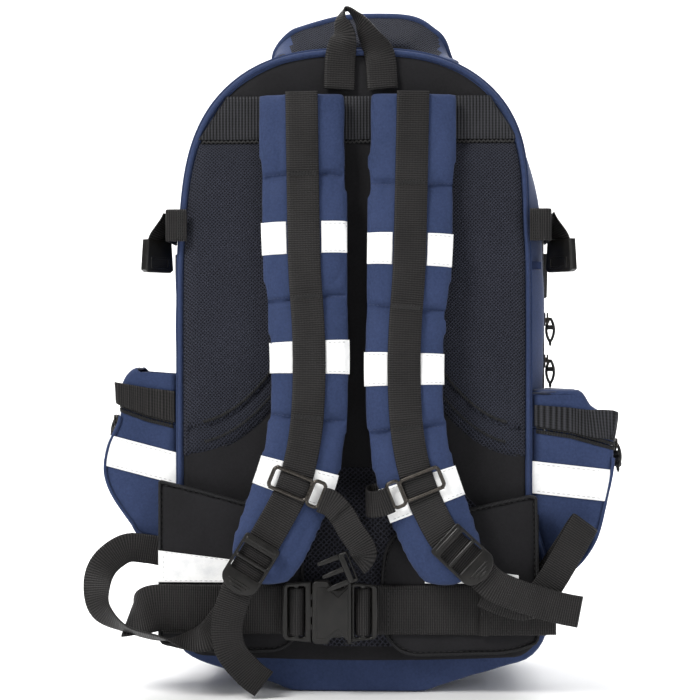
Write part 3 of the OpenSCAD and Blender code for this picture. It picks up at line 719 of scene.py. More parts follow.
def shell(name, stations, material, lining, cap_y=None, depth=1.6, seed=0, keep=None):
    """A lined fabric shell lofted through (y, inset) stations and closed by a flat wall at cap_y."""
    rings = []
    for y, inset in stations:
        flat = outline(inset)
        rings.append(np.column_stack([flat[:, 0], np.full(len(flat), y), flat[:, 1]]))
    if cap_y is not None:
        last = outline(stations[-1][1])
        for flat in cap_rings(last, (0.93, 0.84, 0.72, 0.58, 0.42, 0.26, 0.12, 0.03)):
            rings.append(np.column_stack([flat[:, 0], np.full(len(flat), cap_y), flat[:, 1]]))
    n_side = len(stations)
    verts = np.vstack(rings)
    count = len(rings[0])
    centre = np.array([0, 0, BODY_H / 2])
    for k, p in enumerate(verts):
        row = k // count
        if row in (0,) or p[2] < 4 and row < n_side:
            continue
        fold = depth * wrinkle(p[0], p[1] * 1.6, p[2], 46, seed)
        if row < n_side - 1:
            inward = unit(np.array([-p[0], 0, centre[2] - p[2]]) * (1, 1, 0.35))
            p += inward * fold * min(row / 2, 1)
        elif cap_y is not None and row > n_side:
            p[1] += -math.copysign(1, cap_y) * fold * 0.8
    faces = ring_faces(len(rings), count)
    if cap_y is not None:
        faces.append(last_ring(len(rings), count))
    obj = new_object(name, verts, faces, material)
    obj.data.materials.append(lining)
    if keep is not None:
        trim(obj, keep)
    facing_away(obj, (0, (Y_SPLIT + Y_FRONT) / 2, BODY_H / 2))
    return lined(obj, WALL)


def trim(obj, keep):
    """Cuts a mesh at a height and keeps the part above (keep > 0) or below (keep < 0)."""
    bm = bmesh.new()
    bm.from_mesh(obj.data)
    geom = bm.verts[:] + bm.edges[:] + bm.faces[:]
    bmesh.ops.bisect_plane(bm, geom=geom, plane_co=(0, 0, abs(keep) * MM), plane_no=(0, 0, 1),
                           clear_inner=keep > 0, clear_outer=keep < 0, dist=1e-7)
    bm.to_mesh(obj.data)
    bm.free()


def rim_of(inset, y, z_min=None, z_max=None, count=420):
    """Points along the outline at depth y, between two heights, running from right to left over the top."""
    flat = outline(inset, count)
    pts = np.column_stack([flat[:, 0], np.full(len(flat), y), flat[:, 1]])
    if z_min is not None:
        pts = pts[pts[:, 2] >= z_min]
    if z_max is not None:
        pts = pts[pts[:, 2] <= z_max]
    return pts


def smooth(t):
    t = np.clip(t, 0, 1)
    return t * t * (3 - 2 * t)


DRAWN_IN = {LEFT: 6.5, RIGHT: 13.5}


def draw_in(points, reach=None):
    """The sides bulge: their rear edge lies further in than their middle, on the right more than the left."""
    p = np.array(points, float)
    side = np.sign(p[:, 0])
    rearward = np.clip((-2 - p[:, 1]) / 26, 0, 1) ** 1.3
    height = smooth((p[:, 2] - 92) / 60) * smooth((476 - p[:, 2]) / 120)
    outer = np.clip(np.abs(p[:, 0]) / HALF_W, 0, 1) ** 2
    if reach is not None:
        outer = np.clip(1 - (np.abs(p[:, 0]) - POCKET_X) / reach, 0, 1)
    p[:, 0] -= side * np.where(side > 0, DRAWN_IN[RIGHT], DRAWN_IN[LEFT]) * rearward * height * outer
    return p


def bulge(obj):
    return moved_to(obj, draw_in(coordinates(obj)))


def make_rear_shell():
    depths = np.linspace(Y_SPLIT - 0.15, Y_BACK + 2.2, 12)
    stations = [(y, 0.35 + 0.25 * math.sin(math.pi * i / 11)) for i, y in enumerate(depths)]
    stations += [(Y_BACK + 0.5, 1.3), (Y_BACK, 3.0)]
    obj = bulge(shell("rear_shell_fabric", stations, NAVY, NAVY_LINING, Y_BACK, 1.7, 3))
    placed(obj, "root", "navy_fabric", "rear_shell")


def make_front(name, keep, node, body, seed):
    round_y = Y_FRONT - 28
    stations = [(Y_SPLIT + 0.15, 0.35)]
    stations += [(y, 0.4) for y in np.linspace(Y_SPLIT + 9, round_y, 9)]
    for i in range(1, 9):
        a = math.pi / 2 * i / 8
        stations.append((round_y + 27.2 * math.sin(a), 0.4 + 22 * (1 - math.cos(a)) ** 1.1))
    obj = shell(name, stations, NAVY, NAVY_LINING, stations[-1][0], 1.6, seed, keep)
    placed(obj, body, "navy_fabric", node)


def fan_sheet(name, flat, y_face, thick, material, edge_drop, bump, seed, shares, height=None):
    """A sheet or thin pad with a closed outline, its face towards the wearer and its back flat."""
    rings = cap_rings(flat, shares)
    count = len(flat)
    verts = [np.array([p[0], y_face + thick, p[1]]) for p in rings[0]]
    for i, ring in enumerate(rings):
        for p in ring:
            drop = edge_drop if i == 0 else 0
            lift = height(p[0], p[1]) if height else 0
            wave = bump * noise.noise((p[0] * 0.03 + seed, p[1] * 0.03, seed))
            verts.append(np.array([p[0], y_face + drop - lift + wave, p[1]]))
    return fix_normals(new_object(name, verts, capped_faces(len(rings) + 1, count), material))


def distance_inside(flat, x, z):
    """How far a point lies inside a closed outline."""
    a, b = flat, np.roll(flat, -1, 0)
    ab = b - a
    ap = np.array([x, z]) - a
    t = np.clip(np.sum(ap * ab, 1) / (np.sum(ab * ab, 1) + 1e-9), 0, 1)
    return float(np.sqrt(np.min(np.sum((ap - ab * t[:, None]) ** 2, 1))))


def resample(points, count, closed=True):
    loop = np.vstack([points, points[:1]]) if closed else np.array(points, float)
    s = arc_lengths(loop)
    t = np.linspace(0, s[-1], count, endpoint=not closed)
    return np.column_stack([np.interp(t, s, loop[:, k]) for k in range(loop.shape[1])])


def make_back_panel():
    flat = outline(5.3, 260)
    flat = flat.copy()
    flat[:, 1] = np.maximum(flat[:, 1], 25 + 3.5 * np.abs(flat[:, 0] / 130) ** 2)
    panel = fan_sheet("back_panel_fabric", resample(flat, 260), Y_PANEL + 0.1, 1.3, BLACK, 0.7, 0.5, 5,
                      np.concatenate([[1.0, 0.992], np.linspace(0.97, 0.03, 26)]))
    placed(bulge(panel), "root", "black_fabric", "back_panel")


def make_piping():
    """The corded seam round the back panel, with its sewn lip."""
    path = rim_of(2.6, Y_BACK - 1.6, 58)
    order = np.argsort(np.arctan2(path[:, 0], path[:, 2] - 230))
    path = resample(path[order], 420, closed=False)
    cord = tube("piping_cord", path, 2.05, NAVY, 12, 2.2)
    lip = ribbon("piping_lip", [(p + (0, 1.2, 0), unit(np.array([-p[0], 0, 230 - p[2]]))) for p in path[::6]],
                 7.5, NAVY, 0.5, 3)
    obj = joined("back_piping_seam", [cord, lip])
    placed(bulge(obj), "root", "navy_fabric", "back_piping")


YOKE_Z, YOKE_W = 448, 34


def make_yoke():
    """Webbing across the top of the back, with the zigzag edge sewn below it."""
    z, margin = YOKE_Z, 5
    dome = BODY_H - SHOULDER_Z - margin
    half = [(HALF_W - margin) * (1 - ((h - SHOULDER_Z) / dome) ** DOME_POWER) ** (1 / DOME_POWER)
            for h in (z - YOKE_W / 2, z + YOKE_W / 2)]
    stations = [((x, Y_PANEL - 1.1 + 0.35 * math.sin(x / 17), z), (0, 0, 1))
                for x in np.linspace(-half[0], half[0], 60)]
    band = ribbon("yoke_band", stations, YOKE_W, RIBBED, WEB_T * 0.8)
    for v in band.data.vertices:
        limit = (half[0] + (half[1] - half[0]) * np.clip((v.co.z / MM - z + YOKE_W / 2) / YOKE_W, 0, 1)) * MM
        v.co.x = max(-limit, min(limit, v.co.x))
    zig = [(x, Y_PANEL - 1.0, z - 18.6 + (0.9 if i % 2 else -0.9))
           for i, x in enumerate(np.arange(-half[0] + 3, half[0] - 3, 1.7))]
    cord = tube("yoke_zigzag", zig, 0.8, THREAD, 6, 0.9)
    obj = joined("yoke_webbing_band", [band, cord])
    placed(obj, "root", "webbing", "yoke_webbing")


def depth_finder(obj):
    """Gives the depth of a surface's rear-facing skin at (x, z)."""
    bm = bmesh.new()
    bm.from_mesh(obj.data)
    tree = BVHTree.FromBMesh(bm)
    bm.free()

    def find(x, z):
        hit = tree.ray_cast(Vector((x, -200, z)) * MM, Vector((0, 1, 0)))[0]
        return hit[1] / MM if hit else Y_PANEL

    return find


def back_pad_outline():
    """Outline of the right back pad: the pack's edge outside, an ellipse round the lumbar pad inside."""
    edge = outline(5.4, 700)
    right = edge[(edge[:, 0] > 0) & (edge[:, 1] > 184) & (edge[:, 1] < 429)]
    right = right[np.argsort(right[:, 1])]
    bottom = []
    for i in range(60):
        a = math.pi / 2 + math.pi / 2 * (1 - i / 59)
        bottom.append((139 + 129 * math.cos(a), 406 - 222 * math.sin(a)))
    return resample(np.vstack([right, [(10, 429)], np.array(bottom)]), 240)


def make_back_pads():
    flat = back_pad_outline()

    def arc_inside(x, z):
        """Distance from the pad's curved lower edge, measured inwards."""
        return 150 * (1 - math.hypot((x - 139) / 129, (z - 406) / 222)) if z < 406 and x < 139 else 99

    def height(x, z):
        inside = distance_inside(flat, x, z)
        lift = 5.4 * (1 - math.exp(-inside / 6.0))
        lift -= 2.0 * math.exp(-((arc_inside(x, z) - 15) / 1.7) ** 2)
        lift -= 1.7 if arc_inside(x, z) < 15 else 0
        return lift + 0.5 * noise.noise((x * 0.03, z * 0.03, 2.0))

    shares = np.concatenate([[1.0, 0.99], np.linspace(0.975, 0.03, 44)])
    for side in (RIGHT, LEFT):
        ring = flat * (side, 1)
        pad = fan_sheet(f"back_pad_{SIDE_NAME[side]}_mesh", ring, Y_PANEL - 0.2, 0.3, MESH_FINE, 0.0, 0.0, 1,
                        shares, lambda x, z, s=side: height(x * s, z))

        reshape(pad, lambda p: np.array([p[0], max(p[1], Y_PANEL - 6.2), p[2]]))
        pad.data.materials.clear()
        pad.data.materials.append(MESH_FINE)
        skin = depth_finder(pad)
        seams = []
        for share, radius in ((0.955, 0.4), (0.885, 0.5)):
            line = []
            for i, a in enumerate(np.linspace(math.radians(97), math.radians(174), 190)):
                r = share + (0.006 if i % 2 else -0.006)
                x, z = 139 + 129 * r * math.cos(a), 406 - 222 * r * math.sin(a)
                line.append((side * x, skin(side * x, z) - 0.15, z))
            seams.append(tube("pad_zigzag", line, radius, THREAD, 5, 1.6))
        obj = bulge(joined(f"back_pad_{SIDE_NAME[side]}_mesh", [pad] + seams))
        placed(obj, "root", "black_mesh", f"back_pad_{SIDE_NAME[side]}")


def make_lumbar():
    flat = []
    for i in range(180):
        a = 2 * math.pi * i / 180
        ca, sa = math.cos(a), math.sin(a)
        flat.append((104 * math.copysign(abs(ca) ** 0.8, ca), 106 + 71 * math.copysign(abs(sa) ** 0.8, sa)))
    flat = resample(np.array(flat), 180)

    def height(x, z):
        inside = distance_inside(flat, x, z)
        lift = 6.2 * (1 - math.exp(-inside / 9.0))
        sewn = 1.3 * math.exp(-((inside - 9) / 1.5) ** 2)
        return lift - sewn + 0.3 * noise.noise((x * 0.03, z * 0.03, 8.0))

    pad = fan_sheet("lumbar_pad_mesh", flat, Y_PANEL - 0.2, 0.3, MESH_COARSE, 0.0, 0.0, 1,
                    np.concatenate([[1.0, 0.99], np.linspace(0.97, 0.03, 40)]), height)
    puffed(pad, lambda p: 1 if p[1] > Y_PANEL - 2.5 or distance_inside(flat, p[0], p[2]) < 11 else 0.05,
           2.0, 4.5, 1.4)
    reshape(pad, lambda p: np.array([p[0], max(p[1], Y_WING + 0.4), p[2]]))
    placed(pad, "root", "black_mesh", "lumbar_pad")


# ------------------------------------------------------------------ shoulder straps
STRAP_TOP_Z = 465
Y_STRAP = Y_BACK - 6
LEAN = math.radians(4.6)
PAD_T = 12
STRAP_PATH = np.array([(43, 465), (41.5, 390), (40, 330), (37, 285), (36, 250), (37.5, 212), (42, 182),
                       (50, 156), (61, 128), (71, 106), (79, 90)], float)
PAD_WIDTHS = np.array([34, 34, 33, 31.5, 31, 31, 31, 31, 30, 27, 17], float)
TACKS_Z = {LEFT: (401, 306, 214), RIGHT: (394, 298, 206)}
LOCK_POS = {LEFT: np.array([78, 106.0]), RIGHT: np.array([78, 113.0])}
LOCK_TURN = {LEFT: math.radians(31), RIGHT: math.radians(47)}
WEB_BACK = PAD_T + 0.3
WEB_FRONT = WEB_BACK + WEB_T


def lean(side, x, z, n):
    """A point of a strap drawn flat: x across, z up and n out of the pad's back, in the row frame."""
    return np.array([side * x, Y_STRAP - (STRAP_TOP_Z - z) * math.sin(LEAN) - n * math.cos(LEAN),
                     STRAP_TOP_Z - (STRAP_TOP_Z - z) * math.cos(LEAN) + n * math.sin(LEAN)])


def strap_matrix(side, x, z, n, turn):
    """Places flat work at a point of a strap, turned in the strap's plane (outwards when turn > 0)."""
    origin = Vector(lean(side, x, z, n) * MM)
    right = Vector((side * math.cos(turn), math.sin(turn) * math.sin(LEAN), math.sin(turn) * math.cos(LEAN)))
    out = Vector((0, -math.cos(LEAN), math.sin(LEAN)))
    up = out.cross(right) if side > 0 else right.cross(out)
    basis = Matrix((right, up, out)).transposed().to_4x4()
    return Matrix.Translation(origin) @ basis


def lock_dir(side):
    return np.array([math.sin(LOCK_TURN[side]), -math.cos(LOCK_TURN[side])])


PAD_LINE = catmull(np.column_stack([STRAP_PATH, PAD_WIDTHS]), 3.0)
PAD_S = arc_lengths(PAD_LINE[:, :2])


def pad_frame(s):
    """Centre, direction across and half width of a strap pad at distance s from its top."""
    c = np.array([np.interp(s, PAD_S, PAD_LINE[:, k]) for k in range(3)])
    a = np.array([np.interp(s - 2, PAD_S, PAD_LINE[:, k]) for k in range(2)])
    b = np.array([np.interp(s + 2, PAD_S, PAD_LINE[:, k]) for k in range(2)])
    t = unit(b - a)
    return c[:2], np.array([-t[1], t[0]]), c[2]


def s_at_height(z):
    return float(np.interp(-z, -PAD_LINE[:, 1], PAD_S))


TACKS_S = {side: [s_at_height(z) for z in TACKS_Z[side]] for side in (LEFT, RIGHT)}


def pad_surface(side, s, u, front=True, lift=0.0):
    """A point on a strap pad's skin: u runs from -1 (inner edge) to 1 (outer edge)."""
    centre, across, half = pad_frame(min(max(s, 0), PAD_S[-1]))
    end = PAD_S[-1] - s
    if end < 16:
        half = half + (26 - half) * 0.5 * min(end / 16, 1)
        half *= math.sqrt(max(1 - (1 - max(end, 0) / 16) ** 2.4, 0.02))
    edge = 1 - abs(u) ** 3.2
    crown = 0.42 + 0.58 * edge ** 0.5
    for tack in TACKS_S[side]:
        d = abs(s - tack)
        crown -= 0.10 * math.exp(-(d / 9.0) ** 2) * abs(u)
    fold = 0.32 * noise.noise((s * 0.05, u * 1.5, side * 3.1)) * (0.4 + 0.6 * abs(u))
    pinch = sum(0.6 * math.exp(-((s - tack) / 9.0) ** 2) for tack in TACKS_S[side])
    half -= pinch
    p = centre - across * u * half
    top = PAD_T * max(crown, 0.12) + fold
    bottom = PAD_T * 0.30 * (1 - edge ** 0.5)
    n = (top + lift) if front else bottom - lift
    return lean(side, p[0], p[1], min(n, PAD_T + lift))


STRAP_UP = np.array([0, math.sin(LEAN), math.cos(LEAN)])
STRAP_OUT = np.array([0, -math.cos(LEAN), math.sin(LEAN)])


def on_strap(side, p):
    """The flat coordinates (x, z, n) of a point near a strap."""
    offset = np.array(p, float) - lean(side, 0, STRAP_TOP_Z, 0)
    return side * offset[0], STRAP_TOP_Z + float(offset @ STRAP_UP), float(offset @ STRAP_OUT)


def along_pad(x, z):
    """Distance from the top and across (from -1 to 1) of a flat point on a pad."""
    k = int(np.argmin((PAD_LINE[:, 0] - x) ** 2 + (PAD_LINE[:, 1] - z) ** 2))
    t = unit(PAD_LINE[min(k + 1, len(PAD_LINE) - 1), :2] - PAD_LINE[max(k - 1, 0), :2])
    off = np.array([x, z]) - PAD_LINE[k, :2]
    return PAD_S[k] + float(off @ t), float(off @ np.array([-t[1], t[0]])) / PAD_LINE[k, 2]


def crease(side, p):
    """Sinks the stitched lines into a pad and lays soft folds beside them."""
    x, z, n = on_strap(side, p)
    s, u = along_pad(x, z)
    if n < 3:
        return p
    sink = 0.0
    for k, tack in enumerate(TACKS_S[side]):
        line = tack + 1.2 * math.sin(u * 2.2 + k + side)
        d = s - line
        sink += 3.4 * math.exp(-(d / 1.8) ** 2) + 1.5 * math.exp(-((d - 5) / 8) ** 2)
    fold = wrinkle(x + 90 * side, n, z * 0.6, 21, 6.0 + side)
    sink += 1.4 * fold * smooth((abs(u) - 0.3) / 0.25) * (1 - 0.5 * smooth((s - 330) / 60))
    return p - STRAP_OUT * sink * smooth((n - 3) / 6)


def make_strap_pad(side):
    columns = np.sin(np.linspace(-math.pi / 2, math.pi / 2, 33))
    rows = np.concatenate([np.arange(0.5, PAD_S[-1] - 14, 1.9),
                           np.linspace(PAD_S[-1] - 13, PAD_S[-1] - 0.4, 9)])
    section = [(u, True) for u in columns] + [(u, False) for u in columns[::-1]]
    verts = [pad_surface(side, s, u, front) for s in rows for u, front in section]
    faces = capped_faces(len(rows), len(section))
    pad = fix_normals(new_object(f"shoulder_pad_{SIDE_NAME[side]}", verts, faces, NAVY))
    band = WEB_W / 2 + 2

    def hold(p):
        x, z, n = on_strap(side, p)
        s, u = along_pad(x, z)
        half = float(np.interp(s, PAD_S, PAD_LINE[:, 2]))
        seam = max(math.exp(-((s - tack) / 8) ** 2) for tack in TACKS_S[side])
        if abs(u * half) < band or n < 2.5 or s > PAD_S[-1] - 6 or s < 4:
            return 1
        return seam

    puffed(pad, hold, 4.5, 4.0, 2.0)
    reshape(pad, lambda p: crease(side, p))
    pad.data.materials.clear()
    pad.data.materials.append(NAVY)
    pad.data.update()
    return pad


class Surface:
    """Finds the skin of a strap pad under a flat point."""

    def __init__(self, obj, side):
        bm = bmesh.new()
        bm.from_mesh(obj.data)
        self.tree = BVHTree.FromBMesh(bm)
        bm.free()
        self.side = side

    def __call__(self, s, u, lift):
        centre, across, half = pad_frame(s)
        flat = centre + across * u * half * -1
        start = Vector(lean(self.side, flat[0], flat[1], 40) * MM)
        hit = self.tree.ray_cast(start, Vector(-STRAP_OUT))[0]
        if hit is None:
            return pad_surface(self.side, s, u, True, lift)
        return np.array(hit) / MM + STRAP_OUT * lift


def strap_web_path(side):
    top = [tuple(p) for p in STRAP_PATH[:8]]
    near, far = (LOCK_POS[side] + reach * lock_dir(side) for reach in (-15, 14))
    return np.array(top + [tuple(near), tuple(far)])


def web_stations(side, path, n):
    pts = catmull(path, 4.0)
    tangent = unit(np.gradient(pts, axis=0))
    stations = []
    for p, t in zip(pts, tangent):
        dip = sum(1.3 * math.exp(-((p[1] - z) / 3.2) ** 2) for z in TACKS_Z[side])
        a = lean(side, p[0], p[1], n) - lean(side, p[0] - t[1], p[1] + t[0], n)
        stations.append((lean(side, p[0], p[1], n - dip), a))
    return stations


def make_strap_webbing(side):
    name = SIDE_NAME[side]
    path = strap_web_path(side)
    web = ribbon(f"strap_webbing_{name}_ribbed", web_stations(side, path, WEB_BACK + WEB_T / 2 - 0.1), WEB_W,
                 WEBBING, WEB_T * 0.8, 2.0, 0.35, 4 + side)
    parts = [web]
    for z in TACKS_Z[side]:
        s = s_at_height(z)
        centre, across, _ = pad_frame(s)
        along = np.array([across[1], -across[0]])
        for k in range(3):
            offset = (k - 1) * 1.1
            a = centre + across * 10.6 + along * offset
            b = centre - across * 10.6 + along * offset
            zig = []
            for i, t in enumerate(np.linspace(0, 1, 19)):
                p = a + (b - a) * t + along * (0.7 if i % 2 else -0.7)
                zig.append(lean(side, p[0], p[1], WEB_FRONT - 1.25))
            parts.append(tube("bar_tack", zig, 0.35, THREAD, 5, 1.0))
    obj = joined(f"strap_webbing_{name}_ribbed", parts)
    placed(obj, f"shoulder_{name}", "webbing", f"strap_webbing_{name}")


TAPES_Z = {LEFT: (352, 260, 166), RIGHT: (343, 251, 157)}


def make_strap_tapes(side, surface):
    name = SIDE_NAME[side]
    parts = []
    for z in TAPES_Z[side]:
        s0 = s_at_height(z)
        for u0, u1 in ((-0.985, -0.40), (0.40, 0.985)):
            columns, rows = 14, 12
            verts, faces = [], []
            for layer in (0.55, 0.12):
                for i in range(rows + 1):
                    for j in range(columns + 1):
                        u = u0 + (u1 - u0) * j / columns
                        s = s0 + 12.4 * (2 * i / rows - 1)
                        verts.append(surface(s, u, layer + 0.1))
            w = columns + 1
            count = w * (rows + 1)
            for i in range(rows):
                for j in range(columns):
                    a = i * w + j
                    faces.append((a, a + 1, a + w + 1, a + w))
                    faces.append((count + a, count + a + w, count + a + w + 1, count + a + 1))
            border = list(range(w)) + [i * w + columns for i in range(1, rows + 1)]
            border += [rows * w + j for j in range(columns - 1, -1, -1)]
            border += [i * w for i in range(rows - 1, 0, -1)]
            for a, b in zip(border, border[1:] + border[:1]):
                faces.append((a, a + count, b + count, b))
            parts.append(fix_normals(new_object("tape", verts, faces, TAPE)))
            for edge in (-1, 1):
                line = [surface(s0 + edge * 10.6, u0 + (u1 - u0) * t, 0.75)
                        for t in np.linspace(0.06, 0.94, 16)]
                parts.append(stitches("tape_stitch", line, (0, -1, 0.08), GREY_THREAD, 2.4, 1.2, 0.22, 0.05))
    obj = joined(f"strap_tapes_{name}_silver", parts)
    placed(obj, f"shoulder_{name}", "reflective_tape", f"strap_tapes_{name}")


GREY_THREAD = thread_material("grey_thread", (0.35, 0.35, 0.36), (0.6, 0.6, 0.6))


def make_straps():
    for side in (LEFT, RIGHT):
        name = SIDE_NAME[side]
        pad = make_strap_pad(side)
        surface = Surface(pad, side)
        rows = []
        for k, tack in enumerate(TACKS_S[side]):
            for u0, u1 in ((-0.93, -0.42), (0.42, 0.93)):
                line = [surface(tack + 1.2 * math.sin(u * 2.2 + k + side), u, 0.05)
                        for u in np.linspace(u0, u1, 14)]
                rows.append(stitches("tack_row", line, STRAP_OUT, NAVY_THREAD, 2.2, 1.1, 0.25, 0.05))
        obj = joined(f"shoulder_pad_{name}_foam", [pad] + rows)
        placed(obj, f"shoulder_{name}", "navy_fabric", f"strap_pad_{name}")
        make_strap_webbing(side)
        make_strap_tapes(side, surface)


def make_ladder_lock(side):
    """A ladder lock: a two-slot frame with rounded bars and a ribbed thumb tongue."""
    w, l = 30, 34
    name = SIDE_NAME[side]
    rim = []
    for i in range(25):
        a = math.pi * i / 24
        rim.append((-w / 2 * math.cos(a) * (1 - 0.12 * math.sin(a)), -l / 2 - 9.8 * math.sin(a) ** 0.8))
    rim += rounded_rect(-w / 2, -l / 2, w / 2, l / 2, 2.5)[0:12]
    holes = [rounded_rect(-12.8, -11, 12.8, -2.6, 1.5), rounded_rect(-12.8, 0.4, 12.8, 9.2, 1.5)]
    body = plate("lock_frame", [rim] + holes, 3.6, PLASTIC, 0.9)
    parts = [body]
    for y in (-1.1, 13.2):
        parts.append(tube("lock_bar", [(-13.2, y, 0.6), (-5, y, 1.0), (5, y, 1.0), (13.2, y, 0.6)], 1.7,
                          PLASTIC, 12, 2))
    for k in range(3):
        y = -l / 2 - 1.5 - 2.4 * k
        half = 9.5 - 2.2 * k
        parts.append(tube("lock_rib", [(-half, y, 1.7), (0, y, 2.0), (half, y, 1.7)], 0.6, PLASTIC, 8, 2))
    obj = joined(f"ladder_lock_{name}_moulded", parts)
    turn = LOCK_TURN[side]
    obj.data.transform(strap_matrix(side, *LOCK_POS[side], WEB_FRONT + 0.3 + 2.1, turn))
    fix_normals(obj)
    placed(obj, f"ladder_lock_{name}", "buckle_plastic", f"ladder_lock_{name}")


RING_POS, RING_TURN = (49.5, 164), math.radians(22)


def wire_loop(name, x0, y0, x1, y1, r, radius, z=0.0):
    pts = [(x, y, z) for x, y in rounded_rect(x0, y0, x1, y1, r, 4)]
    return tube(name, pts + pts[:1], radius, METAL, 12, 1.2, closed=True)


def make_sternum_ring(side):
    name = SIDE_NAME[side]
    parts = [wire_loop("ring_main", -15.5, -8.0, 15.5, 8.0, 3.2, 1.5),
             wire_loop("ring_eye", -25.6, -9.6, -16.2, 9.6, 3.0, 1.4, 0.1)]
    obj = joined(f"sternum_ring_{name}_wire", parts)
    obj.data.transform(strap_matrix(side, *RING_POS, WEB_FRONT + 0.3 + 1.3, RING_TURN))
    fix_normals(obj)
    placed(obj, f"sternum_{name}", "dark_metal", f"sternum_ring_{name}")


def strap_y(side, z):
    """Depth of the webbing's face on a strap at a height."""
    return lean(side, 0, z, WEB_FRONT)[1]


def make_sternum():
    left_y, right_y = strap_y(LEFT, 160), strap_y(RIGHT, 164)
    up = (0, 0, 1)
    left = ribbon("sternum_left", [
        ((-23.4, left_y - 1.6, 153.4), (0.375, 0, 0.927)), ((-18.8, left_y - 1.6, 151.5), (0.42, 0, 0.9)),
        ((-11, left_y - 1.4, 143), (0.68, 0, 0.73)), ((-4, left_y - 1, 131), (0.74, 0, 0.67)),
        ((4, left_y, 119), (0.75, 0, 0.66)), ((6, left_y + 3, 111), (0.8, 0, 0.5)),
        ((0, left_y + 5.5, 105.5), (0.45, 0, -0.9))], 20, WEBBING, 1.5)
    wrap = ribbon("sternum_wrap", [
        ((-24.0, left_y - 1.6, 153.6), (0.375, 0, 0.927)), ((-25.6, left_y - 2.0, 154.2), (0.375, 0, 0.927)),
        ((-26.0, left_y - 3.4, 154.4), (0.375, 0, 0.927)), ((-24.5, left_y - 4.2, 153.8), (0.375, 0, 0.927)),
        ((-18.5, left_y - 3.4, 151.0), (0.40, 0, 0.916)), ((-12, left_y - 3.0, 145), (0.62, 0, 0.78))],
        19.6, WEBBING, 1.2, 1.5)
    placed(joined("sternum_webbing_left_sewn", [left, wrap]), "sternum_left", "webbing",
           "sternum_webbing_left")
    right = ribbon("sternum_right", [
        ((23.2, right_y - 1.6, 153.4), (-0.375, 0, 0.927)), ((18.6, right_y - 1.6, 151.6), (-0.36, 0, 0.93)),
        ((12, right_y - 0.5, 150.6), up), ((8, right_y + 5, 151), up), ((8, right_y + 17, 153), up),
        ((12, right_y + 22.6, 154), up), ((21, right_y + 23, 155), up), ((34, right_y + 23, 156), up)],
        20, WEBBING, 1.5)
    cuff = ribbon("sternum_cuff", [
        ((23.6, right_y - 1.6, 153.5), (-0.375, 0, 0.927)),
        ((25.3, right_y - 2.0, 154.2), (-0.375, 0, 0.927)),
        ((25.8, right_y - 3.3, 154.4), (-0.375, 0, 0.927)),
        ((24.5, right_y - 4.2, 153.9), (-0.375, 0, 0.927)),
        ((18.0, right_y - 3.2, 151.3), (-0.34, 0, 0.93)), ((11.5, right_y - 2.0, 150.6), up)],
        19.6, WEBBING, 1.2, 1.5)
    placed(joined("sternum_webbing_right_sewn", [right, cuff]), "sternum_right", "webbing",
           "sternum_webbing_right")

    plug = [plate("plug_bar", [rounded_rect(-12, -9, 12, -1.5, 1.5), rounded_rect(-10, -4.6, 10, -2.9, 0.7)],
                  4.8,
                  PLASTIC, 0.9, UPRIGHT)]
    for x0, tip in ((-12, 1.2), (-2, 0), (8, -1.2)):
        prong = [(x0, -8.9), (x0 + 4, -8.9), (x0 + 4 - 0.4 + max(-tip, 0), -21), (x0 + 3.2 - tip * 0.3, -26),
                 (x0 + 0.8 - tip * 0.3, -26), (x0 + 0.4 - max(tip, 0), -21)]
        prong = [(min(max(x, -12), 12), y) for x, y in prong]
        plug.append(plate("plug_prong", [prong[::-1]], 3.8, PLASTIC, 0.7, UPRIGHT))
    plug = joined("sternum_plug_moulded", plug)
    turn = at(-1.5, left_y + 5.5, 104.5) @ Matrix.Rotation(math.radians(68), 4, "Y")
    plug.data.transform(turn)
    placed(fix_normals(plug), "sternum_left", "buckle_plastic", "sternum_plug")

    y = right_y + 23
    frame_plate = plate("socket_body", [rounded_rect(0, -13, 27, 13, 3), rounded_rect(2.2, -9, 5.2, 9, 1)],
                        6.6,
                        PLASTIC, 1.2, at(34.9, y, 156)
                        @ UPRIGHT)
    placed(frame_plate, "sternum_right", "buckle_plastic", "sternum_socket")


# ------------------------------------------------------------------ hip belt
Y_WING = Y_BACK - 9
Y_FACE = Y_WING - 8
Y_BELT = Y_FACE - 0.2
BELT_Z = 67
WING = {
    LEFT: [(-154, 166), (-121, 158), (-88, 149), (-72, 146), (-58, 140), (-49, 133), (-45, 125), (-42.5, 112),
           (-42, 100), (-41.5, 80), (-42, 62), (-44, 52), (-48, 44), (-54, 37.5), (-62, 34), (-84, 33),
           (-110, 33), (-134, 35), (-154, 40)],
    RIGHT: [(138, 156), (114, 151), (88, 145), (67, 141), (48, 136), (35, 130), (26, 122), (21, 112),
            (19, 100), (18, 80), (18, 62), (20, 52), (24, 42), (31, 35), (42, 31), (76, 32), (110, 33),
            (126, 36), (140, 42)]}


